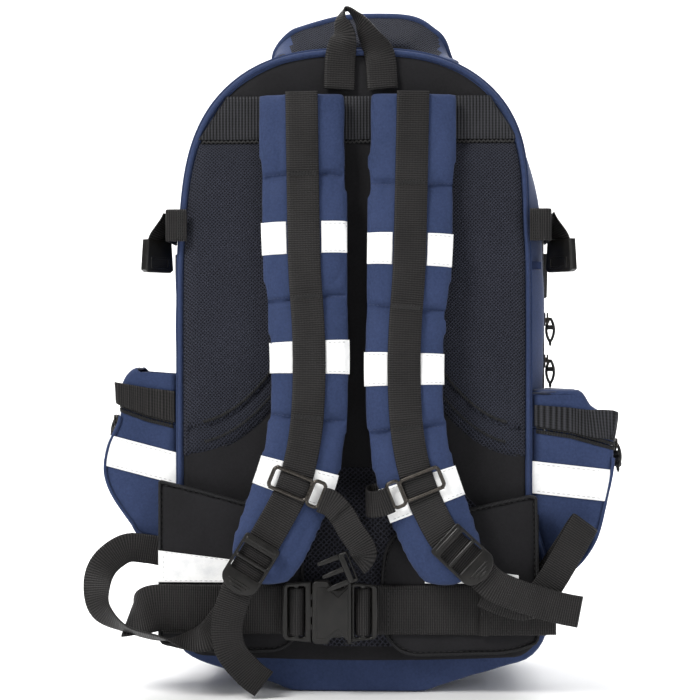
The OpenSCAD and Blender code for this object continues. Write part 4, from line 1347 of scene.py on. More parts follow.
def make_wing(side):
    """A stiffened belt wing: two fabric faces over foam, with a bound edge."""
    name = SIDE_NAME[side]
    flat = resample(np.array(WING[side], float), 200)
    if side == RIGHT:
        flat = flat[::-1]

    def lift(x, z, depth):
        inside = distance_inside(flat, x, z)
        return depth * (1 - math.exp(-(max(inside, 0) / 4.5) ** 1.3))

    shares = np.concatenate([[1.0, 0.992], np.linspace(0.975, 0.03, 30)])
    rings = cap_rings(flat, shares)
    count = len(flat)
    middle = (Y_WING + Y_FACE) / 2
    verts = []
    for direction, order in ((1, range(len(rings) - 1, -1, -1)), (-1, range(len(rings)))):
        for i in order:
            for p in rings[i]:
                belly = 1.3 + lift(p[0], p[1], 2.4)
                if direction < 0:
                    fold = wrinkle(p[0] * 1.0, p[1] * 0.35, side * 4.0, 30, 9 + side)
                    belly -= 0.9 * fold * min(distance_inside(flat, *p) / 12, 1)
                verts.append((p[0], middle + direction * belly, p[1]))
    total = 2 * len(rings)
    pad = fix_normals(new_object(f"belt_wing_{name}_pad", verts, capped_faces(total, count), BLACK))
    puffed(pad, lambda p: 1 if distance_inside(flat, p[0], p[2]) < 7 else 0.15, 3.0, 4.0, 1.2)
    reshape(pad, lambda p: np.array([p[0], min(max(p[1], Y_FACE - 0.3), Y_WING - 0.1), p[2]]))
    edge = resample(flat, 260)
    inner_pull = cap_rings(edge, (0.985,))[0]
    bind = ribbon("binding", [((q[0], middle - 0.2, q[1]), (0, 1, 0)) for q in
                              np.vstack([inner_pull[::4], inner_pull[:1]])], 6.6, BINDING, 2.4, 2.5)
    root_x = (130, 140) if side > 0 else (-140, -130)
    root = plate("wing_root", [rounded_rect(root_x[0], 52, root_x[1], 140, 1)], Y_PANEL - Y_WING - 0.6,
                 BLACK, 0.6,
                 at(0, (Y_PANEL + Y_WING) / 2, 0) @ UPRIGHT)
    hem = cap_rings(resample(flat, 240), (0.955,))[0]
    seam = stitches("wing_seam", [(p[0], middle - 1.35 - lift(p[0], p[1], 2.4), p[1]) for p in hem],
                    (0, -1, 0),
                    THREAD, 3.0, 1.5, 0.3, 0.1)
    obj = joined(f"belt_wing_{name}_pad", [pad, bind, root, seam])
    placed(obj, "root", "black_fabric", f"belt_wing_{name}")


def belt_run(x0, x1, y, width, thick=WEB_T, step=8, sway=0.25, seed=0, ends=(0, 0)):
    xs = np.arange(x0, x1 + 0.1, (x1 - x0) / max(2, round((x1 - x0) / step)))
    stations = []
    for x in xs:
        share = (x - x0) / (x1 - x0)
        z = BELT_Z + ends[0] * (1 - share) + ends[1] * share
        stations.append(((x, y, z), (0, 0, 1)))
    return ribbon("belt_run", stations, width, WEBBING, thick, 2.0, sway, seed)


def box_of_stitches(x0, x1, z0, z1, y, material, cross=True):
    loops = [[(x0, z0), (x1, z0), (x1, z1), (x0, z1), (x0, z0)]]
    if cross:
        loops += [[(x0, z0), (x1, z1)], [(x0, z1), (x1, z0)]]
    rows = []
    for loop in loops:
        pts = []
        for a, b in zip(loop[:-1], loop[1:]):
            for t in np.linspace(0, 1, max(3, int(math.hypot(b[0] - a[0], b[1] - a[1]) / 2)), endpoint=False):
                pts.append((a[0] + (b[0] - a[0]) * t, y, a[1] + (b[1] - a[1]) * t))
        pts.append((loop[-1][0], y, loop[-1][1]))
        rows.append(stitches("box_row", pts, (0, -1, 0), material, 2.6, 1.3, 0.3, 0.05))
    return rows


def webbing_wrap(x_bar):
    """Webbing looped over a ladder bar of the buckle."""
    over = ((-5.4, -56), (-3.4, -60.2), (0, -62), (3.4, -60.2), (5.4, -56))
    return ribbon("wrap", [((x_bar + dx, y, BELT_Z), (0, 0, 1)) for dx, y in over], 36, WEBBING,
                  WEB_T * 0.8, 1.0)


def make_belt():
    width = 38
    y0 = Y_BELT - WEB_T / 2
    y1 = Y_BELT - WEB_T - 0.4 - WEB_T / 2
    parts = [belt_run(-150, -43, y0, width, WEB_T, 8, 0.2, 1)]
    parts.append(belt_run(4, 145, y0, width, WEB_T, 8, 0.2, 2))
    parts.append(belt_run(96, 152, y1, width, WEB_T * 0.9, 8, 0.3, 3, (0, 1)))
    crease = ribbon("belt_fold", [((93.8, y1 + 0.5, BELT_Z), (0.04, 0, 1)),
                                  ((97.2, y1 - 0.6, BELT_Z), (0.04, 0, 1)),
                                  ((101, y1 - 0.5, BELT_Z), (0.04, 0, 1))], width + 0.4, WEBBING, 1.2, 1.0)
    parts.append(crease)
    parts += box_of_stitches(102, 134, BELT_Z - 15, BELT_Z + 15, y1 - 1.05, THREAD, False)
    parts += box_of_stitches(24, 52, BELT_Z - 15, BELT_Z + 15, y0 - 1.15, THREAD, False)
    parts.append(webbing_wrap(BUCKLE_X[2] + 8.6))
    placed(joined("belt_webbing_sewn", parts), "root", "webbing", "belt_webbing")
    stations = [((x, y1 + 0.3 * math.sin(x / 9), BELT_Z + 1.5 * (x + 45) / -105), (0, 0, 1))
                for x in range(-45, -151, -8)]
    stations += [((-158, y1 + 0.6, BELT_Z + 0.5), (0.12, 0.1, 1)),
                 ((-167, y1 + 2.2, BELT_Z - 3), (0.34, 0.22, 0.92)),
                 ((-174, y1 + 4.4, BELT_Z - 7), (0.5, 0.34, 0.8)),
                 ((-178, y1 + 6.6, BELT_Z - 9), (0.55, 0.4, 0.74))]
    tail = [ribbon("tail", stations, 36, WEBBING, WEB_T * 0.9, 2.0, 0.3, 4), webbing_wrap(BUCKLE_X[0] + 10.8)]
    placed(joined("belt_tail_free", tail), "belt_plug", "webbing", "belt_tail")


BUCKLE_X = (-57, -34, -4, 16)
BUCKLE_H = 48
Y_BUCKLE = (-64.5, -52.5)


def moulded_xz(name, loops, y0, y1, bevel):
    """A plate drawn in x and z, thick from y0 to y1."""
    return plate(name, loops, abs(y1 - y0), PLASTIC, bevel, at(0, (y0 + y1) / 2, 0) @ UPRIGHT)


def make_buckle():
    z0, z1 = BELT_Z - BUCKLE_H / 2, BELT_Z + BUCKLE_H / 2
    x1, x2, x3 = BUCKLE_X[1:]

    def notched(grow=0.0):
        r, cx = 7.6, -14
        pts = []
        for sign in (1, -1):
            edge = BELT_Z + sign * (BUCKLE_H / 2 - grow)
            cz = BELT_Z + sign * (BUCKLE_H / 2 + 1.2)
            arc = []
            for i in range(25):
                a = math.pi * i / 24
                arc.append((cx - (r + grow) * math.cos(a), cz - sign * (r + grow) * math.sin(a)))
            arc = [(x, min(max(z, z0 + grow), z1 - grow)) for x, z in arc]
            ends = [(x1 + grow, edge - sign * 3), (x1 + 1 + grow, edge - sign * 0.9), (x1 + 3 + grow, edge)]
            outs = [(x2 - 2 - grow, edge), (x2 - 0.6 - grow, edge - sign * 0.7),
                    (x2 - grow, edge - sign * 2.4)]
            chain = ends + arc + outs
            pts += chain if sign > 0 else chain[::-1]
        return pts[::-1]

    front, back = Y_BUCKLE
    shells = [moulded_xz("socket_face", [notched()], front, front + 2.9, 1.35),
              moulded_xz("socket_back", [notched()], back - 2.9, back, 0.9)]
    for sign in (1, -1):
        edge = BELT_Z + sign * BUCKLE_H / 2
        for a, b in ((x1 + 1.4, -22.6), (-5.6, x2 - 0.4)):
            lo, hi = sorted((edge - sign * 0.6, edge - sign * 3.6))
            shells.append(moulded_xz("socket_wall", [rounded_rect(a, lo, b, hi, 1)], front + 1.5,
                                     back - 1.5, 0.4))
    shells.append(moulded_xz("socket_end", [rounded_rect(-6.4, z0 + 1, -4.4, z1 - 1, 0.8)], front + 1.6,
                             back - 1.6, 0.4))
    ridge = [(x1 + 3.6, z0 + 4.5), (-23.5, z0 + 4.5), (-14, z0 + 12), (-6.5, z0 + 4.5), (-6.5, z1 - 4.5),
             (-14, z1 - 12), (-23.5, z1 - 4.5), (x1 + 3.6, z1 - 4.5)]
    shells.append(moulded_xz("socket_panel", [ridge], front - 0.55, front + 1.0, 0.5))
    arms = [(x2 - 0.4, z0 + 1.2), (x3 - 2.4, z0 + 3.4), (x3 - 0.4, z0 + 6), (x3, BELT_Z), (x3 - 0.4, z1 - 6),
            (x3 - 2.4, z1 - 3.4), (x2 - 0.4, z1 - 1.2)]
    slots = [rounded_rect(x2 + 2.2, z0 + 4.6, x2 + 6.8, z1 - 4.6, 1.6),
             rounded_rect(x2 + 10.4, z0 + 5, x2 + 15.4, z1 - 5, 1.6)]
    shells.append(moulded_xz("socket_bars", [arms] + slots, -60.5, -55.5, 1.3))
    placed(joined("belt_buckle_socket_moulded", shells), "root", "buckle_plastic", "belt_buckle_socket")

    xa, xb = BUCKLE_X[0], BUCKLE_X[1] - 0.5
    frame_rim = [(xa, BELT_Z), (xa + 0.5, z0 + 5), (xa + 2.6, z0 + 2.2), (xb, z0 + 0.6), (xb, z1 - 0.6),
                 (xa + 2.6, z1 - 2.2), (xa + 0.5, z1 - 5)]
    slots = [rounded_rect(xa + 4.2, z0 + 5, xa + 9.2, z1 - 5, 1.6),
             rounded_rect(xa + 12.4, z0 + 4.6, xa + 17.4, z1 - 4.6, 1.6)]
    plug = [moulded_xz("plug_bars", [frame_rim] + slots, -60.5, -55.5, 1.3),
            moulded_xz("plug_guide", [rounded_rect(xb - 1, BELT_Z - 4, -12.2, BELT_Z + 4, 1)], -60.6,
                       -56.4, 0.6)]
    placed(joined("belt_buckle_plug_moulded", plug), "belt_plug", "buckle_plastic", "belt_buckle_plug")
    for side, name in ((1, "upper"), (-1, "lower")):
        loop = [(-35.5, 9), (-35.2, 13.4), (-30, 15.6), (-24, 17), (-20, 19.5), (-13, 19.6), (-9.6, 18.4),
                (-8, 14), (-9, 12.8), (-14, 12.5), (-24, 12), (-30, 10.6)]
        loop = [(x, BELT_Z + side * z) for x, z in loop]
        prong = moulded_xz(f"plug_prong_{name}_moulded", [loop], -60.9, -56.1, 0.7)
        placed(prong, f"prong_{name}", "buckle_plastic", f"plug_prong_{name}")


def tape_patch(polygon, y, seed=0, thick=0.6):
    """A sheet of tape in the x-z plane with softly uneven face."""
    flat = resample(np.array(polygon, float), 120)
    rings = cap_rings(flat, np.concatenate([[1.0, 0.98], np.linspace(0.93, 0.05, 10)]))
    count = len(flat)
    verts = [(p[0], y + thick / 2, p[1]) for p in rings[0]]
    for i, ring in enumerate(rings):
        for p in ring:
            dent = 0.28 * noise.noise((p[0] * 0.06 + seed, p[1] * 0.06, seed * 2.3))
            verts.append((p[0], y - thick / 2 + (0.12 if i == 0 else 0) + dent, p[1]))
    return fix_normals(new_object("tape", verts, capped_faces(len(rings) + 1, count), TAPE))


def make_root_tapes():
    y = Y_FACE - 0.5
    left = [(-154, 112), (-121, 108), (-88, 104), (-80, 100.5), (-75, 96), (-77, 91), (-80, 87.5),
            (-154, 87.5)]
    right = [(52, 87.5), (52, 94), (68, 96.5), (85, 98), (105, 96.5), (124, 94), (124, 87.5)]
    parts = [tape_patch(left, y, 1), tape_patch(right, y, 2)]
    for loop in (left, right):
        ring = cap_rings(resample(np.array(loop, float), 90), (0.9,))[0]
        parts.append(stitches("tape_edge", [(p[0], y - 0.35, p[1]) for p in np.vstack([ring, ring[:1]])],
                              (0, -1, 0),
                              GREY_THREAD, 2.6, 1.3, 0.22, 0.05))
    for side in (LEFT, RIGHT):
        dz = 18 if side < 0 else 0
        z = 164 + dz
        slope = -5 if side > 0 else 12
        inner, outer = (135 if side > 0 else 142), (196 if side > 0 else 199.5)
        strip = [(x, z + half + slope * ((x - 150) / 46 - 0.5)) for half, xs in
                 ((-12.5, np.linspace(inner, outer, 8)), (12.5, np.linspace(outer, inner, 8))) for x in xs]
        patch = tape_patch([(side * x, h) for x, h in strip], Y_BACK + 1.2, 5 + side)
        parts.append(patch)
        for h in (z - 10.5, z + 10.5):
            parts.append(stitches("tape_edge", [(side * x, Y_BACK + 0.8, h + slope * ((x - 150) / 46 - 0.5))
                                                for x in np.linspace(inner + 3, outer - 4, 20)],
                                  (0, -1, 0), GREY_THREAD, 2.6, 1.3, 0.22, 0.05))
    placed(joined("reflective_tapes_silver", parts), "root", "reflective_tape", "reflective_tapes")


def make_lower_straps():
    left = [((-91, -69, 76), (0.86, 0, -0.51)), ((-102, -65, 62), (0.75, 0, -0.66)),
            ((-112, -63, 50), (0.55, -0.2, -0.8)), ((-128, -62.5, 45), (0.3, -0.8, -0.5)),
            ((-150, -64, 47), (0.1, -0.95, 0.3)), ((-176, -64, 54), (0.2, -0.9, 0.35)),
            ((-196, -62, 68), (0.7, -0.5, 0.5)), ((-200, -57, 86), (0.95, -0.2, 0.1)),
            ((-195, -51, 102), (0.85, 0, -0.5)), ((-180, -44, 113), (0.5, 0, -0.86)),
            ((-164, -38, 112), (0.1, 0, -1)), ((-149, -35.6, 109), (0, 0, -1))]
    right = [((96, -71, 84), (0.6, 0, 0.8)), ((114, -66, 76), (0.4, 0, 0.9)), ((131, -63, 74), (0.05, 0, 1)),
             ((144, -60, 86), (-0.5, 0, 0.86)), ((157, -57, 106), (-0.75, 0, 0.66)),
             ((169, -53, 126), (-0.8, 0, 0.6)),
             ((175, -48, 135), (-0.8, 0, 0.6)), ((172, -43, 131), (-0.8, 0, 0.6)),
             ((162, -38.5, 114), (-0.75, 0, 0.66)),
             ((149, -35.6, 94), (-0.6, 0, 0.8))]
    for side, stations in ((LEFT, left), (RIGHT, right)):
        name = SIDE_NAME[side]
        strap = ribbon(f"lower_strap_{name}_ribbed", stations, 22.5, WEBBING, 1.6, 2.5)
        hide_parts(f"lower_strap_{name}")
        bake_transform(strap)


def make_strap_tails():
    left = [((-92, -79.5, 80), (0.93, -0.03, -0.35)), ((-97, -75, 64), (0.98, 0, -0.2)),
            ((-98, -71, 50), (1, 0, 0)),
            ((-94, -68, 36), (0.96, 0, 0.27)), ((-81, -64, 20), (0.86, 0, 0.5)),
            ((-71, -61, 12), (0.8, 0, 0.6))]
    right = [((102, -79.5, 92), (0.5, 0.07, 0.87)), ((118, -76, 84), (0.42, 0, 0.9)),
             ((137, -69, 77), (0.35, 0, 0.94)),
             ((154, -67, 72), (0.28, 0, 0.96)), ((169, -66, 69), (0.2, 0, 0.98))]
    starts = {LEFT: (0.86, -0.04, -0.51), RIGHT: (0.55, 0.07, 0.83)}
    for side, rest in ((LEFT, left), (RIGHT, right)):
        name = SIDE_NAME[side]
        p = LOCK_POS[side] + 15 * lock_dir(side)
        first = (tuple(lean(side, p[0], p[1], WEB_BACK + 1.1)), starts[side])
        tail = ribbon(f"strap_tail_{name}_ribbed", [first] + rest, WEB_W - 1, WEBBING, 1.6, 2.2,
                      0.3, 7 + side)
        placed(tail, f"shoulder_{name}", "webbing", f"strap_tail_{name}")


# ------------------------------------------------------------------ zips and sliders
def zip_teeth(name, path, normal, step, size):
    """A row of moulded teeth along a path, standing on a tape whose face looks along normal."""
    pts = np.array(path, float)
    s = arc_lengths(pts)
    verts, faces = [], []
    for d in np.arange(step / 2, s[-1], step):
        p = np.array([np.interp(d, s, pts[:, k]) for k in range(3)])
        q = np.array([np.interp(min(d + 1, s[-1]), s, pts[:, k]) for k in range(3)])
        t = unit(q - p)
        out = unit(normal(p) if callable(normal) else np.array(normal, float))
        side = unit(np.cross(t, out))
        base = len(verts)
        for a in (-1, 1):
            for b in (-1, 1):
                for c in (-1, 1):
                    verts.append(p + t * a * size[1] / 2 * (1 if c < 0 else 0.8) + side * b * size[0] / 2
                                 + out * c * size[2] / 2)
        for f in ((0, 1, 3, 2), (4, 6, 7, 5), (0, 4, 5, 1), (2, 3, 7, 6), (0, 2, 6, 4), (1, 5, 7, 3)):
            faces.append(tuple(base + k for k in f))
    return fix_normals(new_object(name, verts, faces, PLASTIC, False))


def rim_normal(p):
    """The outward direction of the pack's outline near a point."""
    x, z = p[0], p[2]
    if z > SHOULDER_Z:
        return (math.copysign((abs(x) / HALF_W) ** (DOME_POWER - 1) / HALF_W, x), 0,
                ((z - SHOULDER_Z) / (BODY_H - SHOULDER_Z)) ** (DOME_POWER - 1) / (BODY_H - SHOULDER_Z))
    return (math.copysign(1, x), 0, 0)


def zip_strip(y_near, y_far, lift):
    """Zip tape following the outline from side to side over the top."""
    path = rim_of(-lift, (y_near + y_far) / 2, ZIP_LOW_Z + 0.6, None, 520)
    order = np.argsort(np.arctan2(path[:, 0], path[:, 2] - 200))
    path = path[order]
    path = resample(path, 260, closed=False)
    return path, ribbon("zip_tape", [(p, (0, 1, 0)) for p in path[::3]] + [(path[-1], (0, 1, 0))],
                        abs(y_far - y_near),
                        BINDING, 0.9, 3.0)


def make_main_zips():
    for node, body, span, teeth_y, side_z in (
            ("main_zip_rear", "root", (21.85, 29.7), Y_SPLIT - 0.95, 58.4),
            ("main_zip_front", "lid", (30.3, 38.15), Y_SPLIT + 0.95, 65.6)):
        path, tape = zip_strip(span[0], span[1], 0.8)
        teeth = zip_teeth("teeth", path + (0, teeth_y - path[0, 1], 0), rim_normal, 2.6, (1.3, 1.3, 1.1))
        parts = [tape, teeth]
        seam_y = span[0] + 1.6 if body == "root" else span[1] - 1.6
        normals = np.array([rim_normal(p) for p in path])
        parts.append(stitches("zip_seam", path + (0, seam_y - path[0, 1], 0) + unit(normals) * 0.45, normals,
                              NAVY_THREAD, 2.8, 1.4, 0.25, 0.05))
        for side in (LEFT, RIGHT):
            x = side * (HALF_W + 0.8)
            ys = np.linspace(31, 96, 20)
            z = side_z
            parts.append(ribbon("side_tape", [((x, y, z), (0, 0, 1)) for y in ys], 7.4, BINDING, 0.9, 3.0))
            inner = z + (3.4 if body == "root" else -3.4) * 0.85
            parts.append(zip_teeth("side_teeth", [(x, y, inner) for y in ys], (side, 0, 0), 2.6,
                                   (1.3, 1.3, 1.1)))
        placed(joined(f"{node}_toothed", parts), body, "black_fabric", node)


def slider_mesh(name, matrix):
    """A zip slider: two plates with a bridge, drawn 11 long (x), 7 wide (y) and 3.4 high (z)."""
    top = plate("slider_top", [rounded_rect(-5.5, -3.4, 5.5, 3.4, 2.2)], 1.2, METAL, 0.4,
                at(0, 0, 2.8))
    low = plate("slider_low", [rounded_rect(-5.5, -3.4, 5.5, 3.4, 2.2)], 1.0, METAL, 0.3,
                at(0, 0, 0.6))
    post = plate("slider_post", [rounded_rect(-1.2, -1, 3, 1, 0.6)], 2.4, METAL, 0.3, at(0, 0, 1.7))
    obj = joined(name, [top, low, post])
    obj.data.transform(matrix)
    return fix_normals(obj)


def cord_pull(a, b, spread, normal, radius=1.1, knots=2, material=None):
    """A looped cord from a to b with knotted beads near the end."""
    a, b, spread = np.array(a, float), np.array(b, float), np.array(spread, float)
    length = np.linalg.norm(b - a)
    d = (b - a) / length
    side = unit(np.cross(d, np.array(normal, float)))
    loop = []
    for t in np.linspace(0, 1, 9):
        loop.append(a + d * length * t + side * spread * math.sin(math.pi * min(t * 1.15, 1)) ** 0.8)
    back = [a + d * length * t - side * spread * math.sin(math.pi * min(t * 1.15, 1)) ** 0.8
            for t in np.linspace(1, 0, 9)]
    parts = [tube("cord", np.array(loop + back[1:]), radius, material or THREAD, 10, 1.0)]
    for k in range(knots):
        p = a + d * length * (0.34 + 0.2 * k)
        ball = [p - side * spread * 0.9, p, p + side * spread * 0.9]
        parts.append(tube("knot", ball, radius * 1.7, material or THREAD, 10, 0.7))
    return parts


SLIDERS_Z = (292, 258)


def make_main_sliders():
    x = HALF_W + 1.6
    for z, name, sign in ((SLIDERS_Z[0], "upper", 1), (SLIDERS_Z[1], "lower", -1)):
        upside_down = Matrix.Rotation(0 if sign > 0 else math.pi, 4, "Z")
        turn = at(x, Y_SPLIT, z) @ Matrix.Rotation(math.pi / 2, 4, "Y") @ upside_down
        placed(slider_mesh(f"main_slider_{name}_cast", turn), f"main_slider_{name}", "dark_metal",
               f"main_slider_{name}")
        lo, hi = box_mm(f"main_pull_{name}")
        top, low = (hi[2] - 1.6, lo[2] + 1.6)
        px = (lo[0] + hi[0]) / 2
        parts = cord_pull((px - 1, Y_SPLIT, top + 2), (px - 1, Y_SPLIT, low), 3.1, (0, 1, 0), 1.15,
                          1, PLASTIC)
        placed(joined(f"main_pull_{name}_cord", parts), f"main_pull_{name}", "black_fabric",
               f"main_pull_{name}")


# ------------------------------------------------------------------ side pockets
POCKET_X, POCKET_Y, POCKET_OUT, ZIP_Z = 149.2, (-28, 20), 50, 199
POCKET_RISE = {LEFT: 18, RIGHT: 0}
POCKET_SHAPE = {
    RIGHT: [(149.2, 88), (169.2, 97), (185.2, 118), (193.2, 146), (199.2, 180), (199.2, 214), (195.2, 219),
            (182.2, 225), (172.2, 236), (149.2, 236)],
    LEFT: [(149.2, 96), (172, 104), (178, 112), (192, 132), (198.5, 146), (200, 158), (197, 172), (189, 188),
           (187, 206), (188, 216), (181, 232), (165, 238), (149.2, 238)]}
ZIP_TILT = {LEFT: 9, RIGHT: -7}
POCKET_FADE = 16


def tip_zip(points, side):
    """The zip line of a pocket slopes: it is moved up or down the further out it lies."""
    p = np.array(points, float)
    near = np.exp(-((p[:, 2] - POCKET_RISE[side] - ZIP_Z) / 26) ** 2)
    p[:, 2] += ZIP_TILT[side] * (2 * (np.abs(p[:, 0]) - POCKET_X) / POCKET_OUT - 1) * near
    return p


def shape_pocket_part(obj, side):
    return moved_to(obj, draw_in(tip_zip(coordinates(obj), side), POCKET_FADE))


def pocket_skin(side, z_from, z_to, seed, lid):
    """Half of a pocket's bellows: the profile in x and z, swept in y, open where the zip runs."""
    profile = catmull(np.array(POCKET_SHAPE[side], float), 3.0)
    profile[:, 0] = np.minimum(profile[:, 0], 200.0)
    rising = np.array(sorted(profile.tolist(), key=lambda q: q[1]))
    ends = {k: np.interp(k, rising[:, 1], rising[:, 0]) for k in (z_from, z_to)}
    profile = profile[(profile[:, 1] >= z_from) & (profile[:, 1] <= z_to)]
    if lid:
        profile = np.vstack([[(ends[z_from], z_from)], profile])
    else:
        profile = np.vstack([profile, [(ends[z_to], z_to)]])
    y0, y1 = POCKET_Y
    shape = []
    for i in range(4):
        a = math.pi / 2 * i / 4
        shape.append((y0 + 4.5 - 4.5 * math.cos(a), -4.5 + 4.5 * math.sin(a)))
    shape += [(y, 0.0) for y in np.linspace(y0 + 4.5, y1 - 4.5, 11)]
    for i in range(1, 5):
        a = math.pi / 2 * i / 4
        shape.append((y1 - 4.5 + 4.5 * math.sin(a), -4.5 + 4.5 * math.cos(a)))
    verts, faces = [], []
    rows = len(profile)
    for p in profile:
        away = unit(p - np.array([POCKET_X, min(max(p[1], 120), 210)]))
        for y, drop in shape:
            fold = 1.1 * wrinkle(p[0], y * 1.3, p[1], 26, seed)
            q = p + away * (drop - fold)
            q[0] = max(q[0], POCKET_X)
            verts.append((side * q[0], y, q[1] + POCKET_RISE[side]))
    k = len(shape)
    for i in range(rows - 1):
        for j in range(k - 1):
            a = i * k + j
            faces.append((a, a + 1, a + k + 1, a + k))
    for j, y in ((0, y0), (k - 1, y1)):
        fronts = []
        for t in np.linspace(0, 1, 9):
            depth = 0.9 * math.sin(math.pi * t) if y < 0 else 0
            row = []
            for i in range(rows):
                x, _, z = verts[i * k + j]
                wall_x = side * POCKET_X
                inward = depth * wrinkle(x * (1 - t), y, z, 24, seed + 3)
                row.append((x + (wall_x - x) * t, y + inward, z))
            fronts.append(row)
        base = len(verts)
        for row in fronts:
            verts += row
        for t in range(8):
            for i in range(rows - 1):
                a = base + t * rows + i
                faces.append((a, a + 1, a + rows + 1, a + rows))
    obj = new_object("pocket_skin", verts, faces, NAVY)
    obj.data.materials.append(NAVY_LINING)
    facing_away(obj, (side * 165, -4, (z_from + z_to) / 2 + POCKET_RISE[side]), 0.02)
    return lined(obj, 1.8)


def pocket_section_path(side, z, lift=0.6):
    """The zip line round a pocket's front, outer side and back, at height z."""
    edge = catmull(np.array(POCKET_SHAPE[side], float), 3.0)
    edge = np.array(sorted(edge.tolist(), key=lambda q: q[1]))
    x = float(np.interp(z, edge[:, 1], np.minimum(edge[:, 0], 200.0))) + lift
    y0, y1 = POCKET_Y[0] - lift, POCKET_Y[1] + lift
    r = 5.0
    pts = [(t, y0) for t in np.linspace(POCKET_X + 1.5, x - r, 12)]
    pts += [(x - r + r * math.sin(a), y0 + r - r * math.cos(a)) for a in np.linspace(0, math.pi / 2, 6)[1:]]
    pts += [(x, y) for y in np.linspace(y0 + r, y1 - r, 10)[1:]]
    pts += [(x - r + r * math.cos(a), y1 - r + r * math.sin(a)) for a in np.linspace(0, math.pi / 2, 6)[1:]]
    pts += [(t, y1) for t in np.linspace(x - r, POCKET_X + 1.5, 12)[1:]]
    return np.array(pts)


def pocket_normal(side, y):
    """The way a pocket's wall faces at depth y: to the wearer, to the front or sideways."""
    if y < POCKET_Y[0] + 2:
        return (0, -1, 0)
    return (0, 1, 0) if y > POCKET_Y[1] - 2 else (side, 0, 0)


def make_pocket(side):
    name = SIDE_NAME[side]
    rise = POCKET_RISE[side]
    for lid in (False, True):
        body = f"pocket_lid_{name}" if lid else "root"
        node = f"pocket_lid_{name}" if lid else f"pocket_{name}"
        skin = pocket_skin(side, ZIP_Z + 0.3 if lid else 88, 236 if lid else ZIP_Z - 0.3,
                           11 + side + 3 * lid, lid)
        z_tape = ZIP_Z + (1.9 if lid else -1.9)
        line = pocket_section_path(side, z_tape, 0.15)
        tape = ribbon("zip_tape", [((side * x, y, z_tape + rise), (0, 0, 1)) for x, y in line], 2.8,
                      BINDING, 0.8, 2.0)
        teeth_z = ZIP_Z + (0.9 if lid else -0.9)
        teeth_line = pocket_section_path(side, teeth_z, 0.35)
        teeth = zip_teeth("teeth", [(side * x, y, teeth_z + rise) for x, y in teeth_line],
                          lambda p: pocket_normal(side, p[1]), 2.2, (1.1, 1.1, 1.0))
        parts = [skin, tape, teeth]
        if not lid:
            outer = catmull(np.array(POCKET_SHAPE[side], float) - (1.2, 0), 4.0)
            piping = [(side * x, POCKET_Y[0] - 0.2, z + rise) for x, z in outer if z < ZIP_Z - 5]
            parts.append(tube("pocket_piping", piping, 1.4, NAVY, 10, 2.0))
        placed(shape_pocket_part(joined(f"{node}_fabric", parts), side), body, "navy_fabric", node)
    edge_x = 199.5 if side > 0 else 189.5
    stations = []
    for i, x in enumerate(np.linspace(150, edge_x, 18)):
        puff = 0.5 * math.sin(i * 1.9 + side)
        z = ZIP_Z + 12.0 + (2.0 * smooth((x - 176) / 20) if side > 0 else 0)
        stations.append(((side * x, POCKET_Y[0] - 1.35 + puff, z + rise), (side * 0.06, 0, 1)))
    stations.append(((side * (edge_x + 1.2), POCKET_Y[0] + 2, ZIP_Z + 12 + rise), (side * 0.05, 0, 1)))
    strip = ribbon("pocket_band", stations, 20, RIBBED if side > 0 else WEBBING, 1.4, 1.5, 0.5, 3 + side)
    band = shape_pocket_part(joined(f"pocket_band_{name}_sewn", [strip]), side)
    placed(band, f"pocket_lid_{name}", "webbing", f"pocket_band_{name}")
    low = box_mm(f"pocket_slider_{name}")[0][2]
    cx = POCKET_X + POCKET_OUT + 0.3 - (9.5 if side < 0 else 0)
    turn = Matrix.Rotation(side * math.pi / 2, 4, "Y") @ QUARTER_Z
    turn = at(side * cx, POCKET_Y[0] + 12, ZIP_Z - 4.5 + rise) @ turn
    parts = [slider_mesh("slider", turn)]
    px = side * (cx + 4.3)
    parts += cord_pull((px - side, POCKET_Y[0] + 12, low + 23), (px, POCKET_Y[0] + 12, low + 1.6), 2.6,
                       (0.6, 0.8, 0), 1.3, 3)
    placed(joined(f"pocket_slider_{name}_cast", parts), f"pocket_slider_{name}", "dark_metal",
           f"pocket_slider_{name}")


# ------------------------------------------------------------------ compression straps
ANCHOR_Z, SOCKET_TURN = 364, math.radians(38)


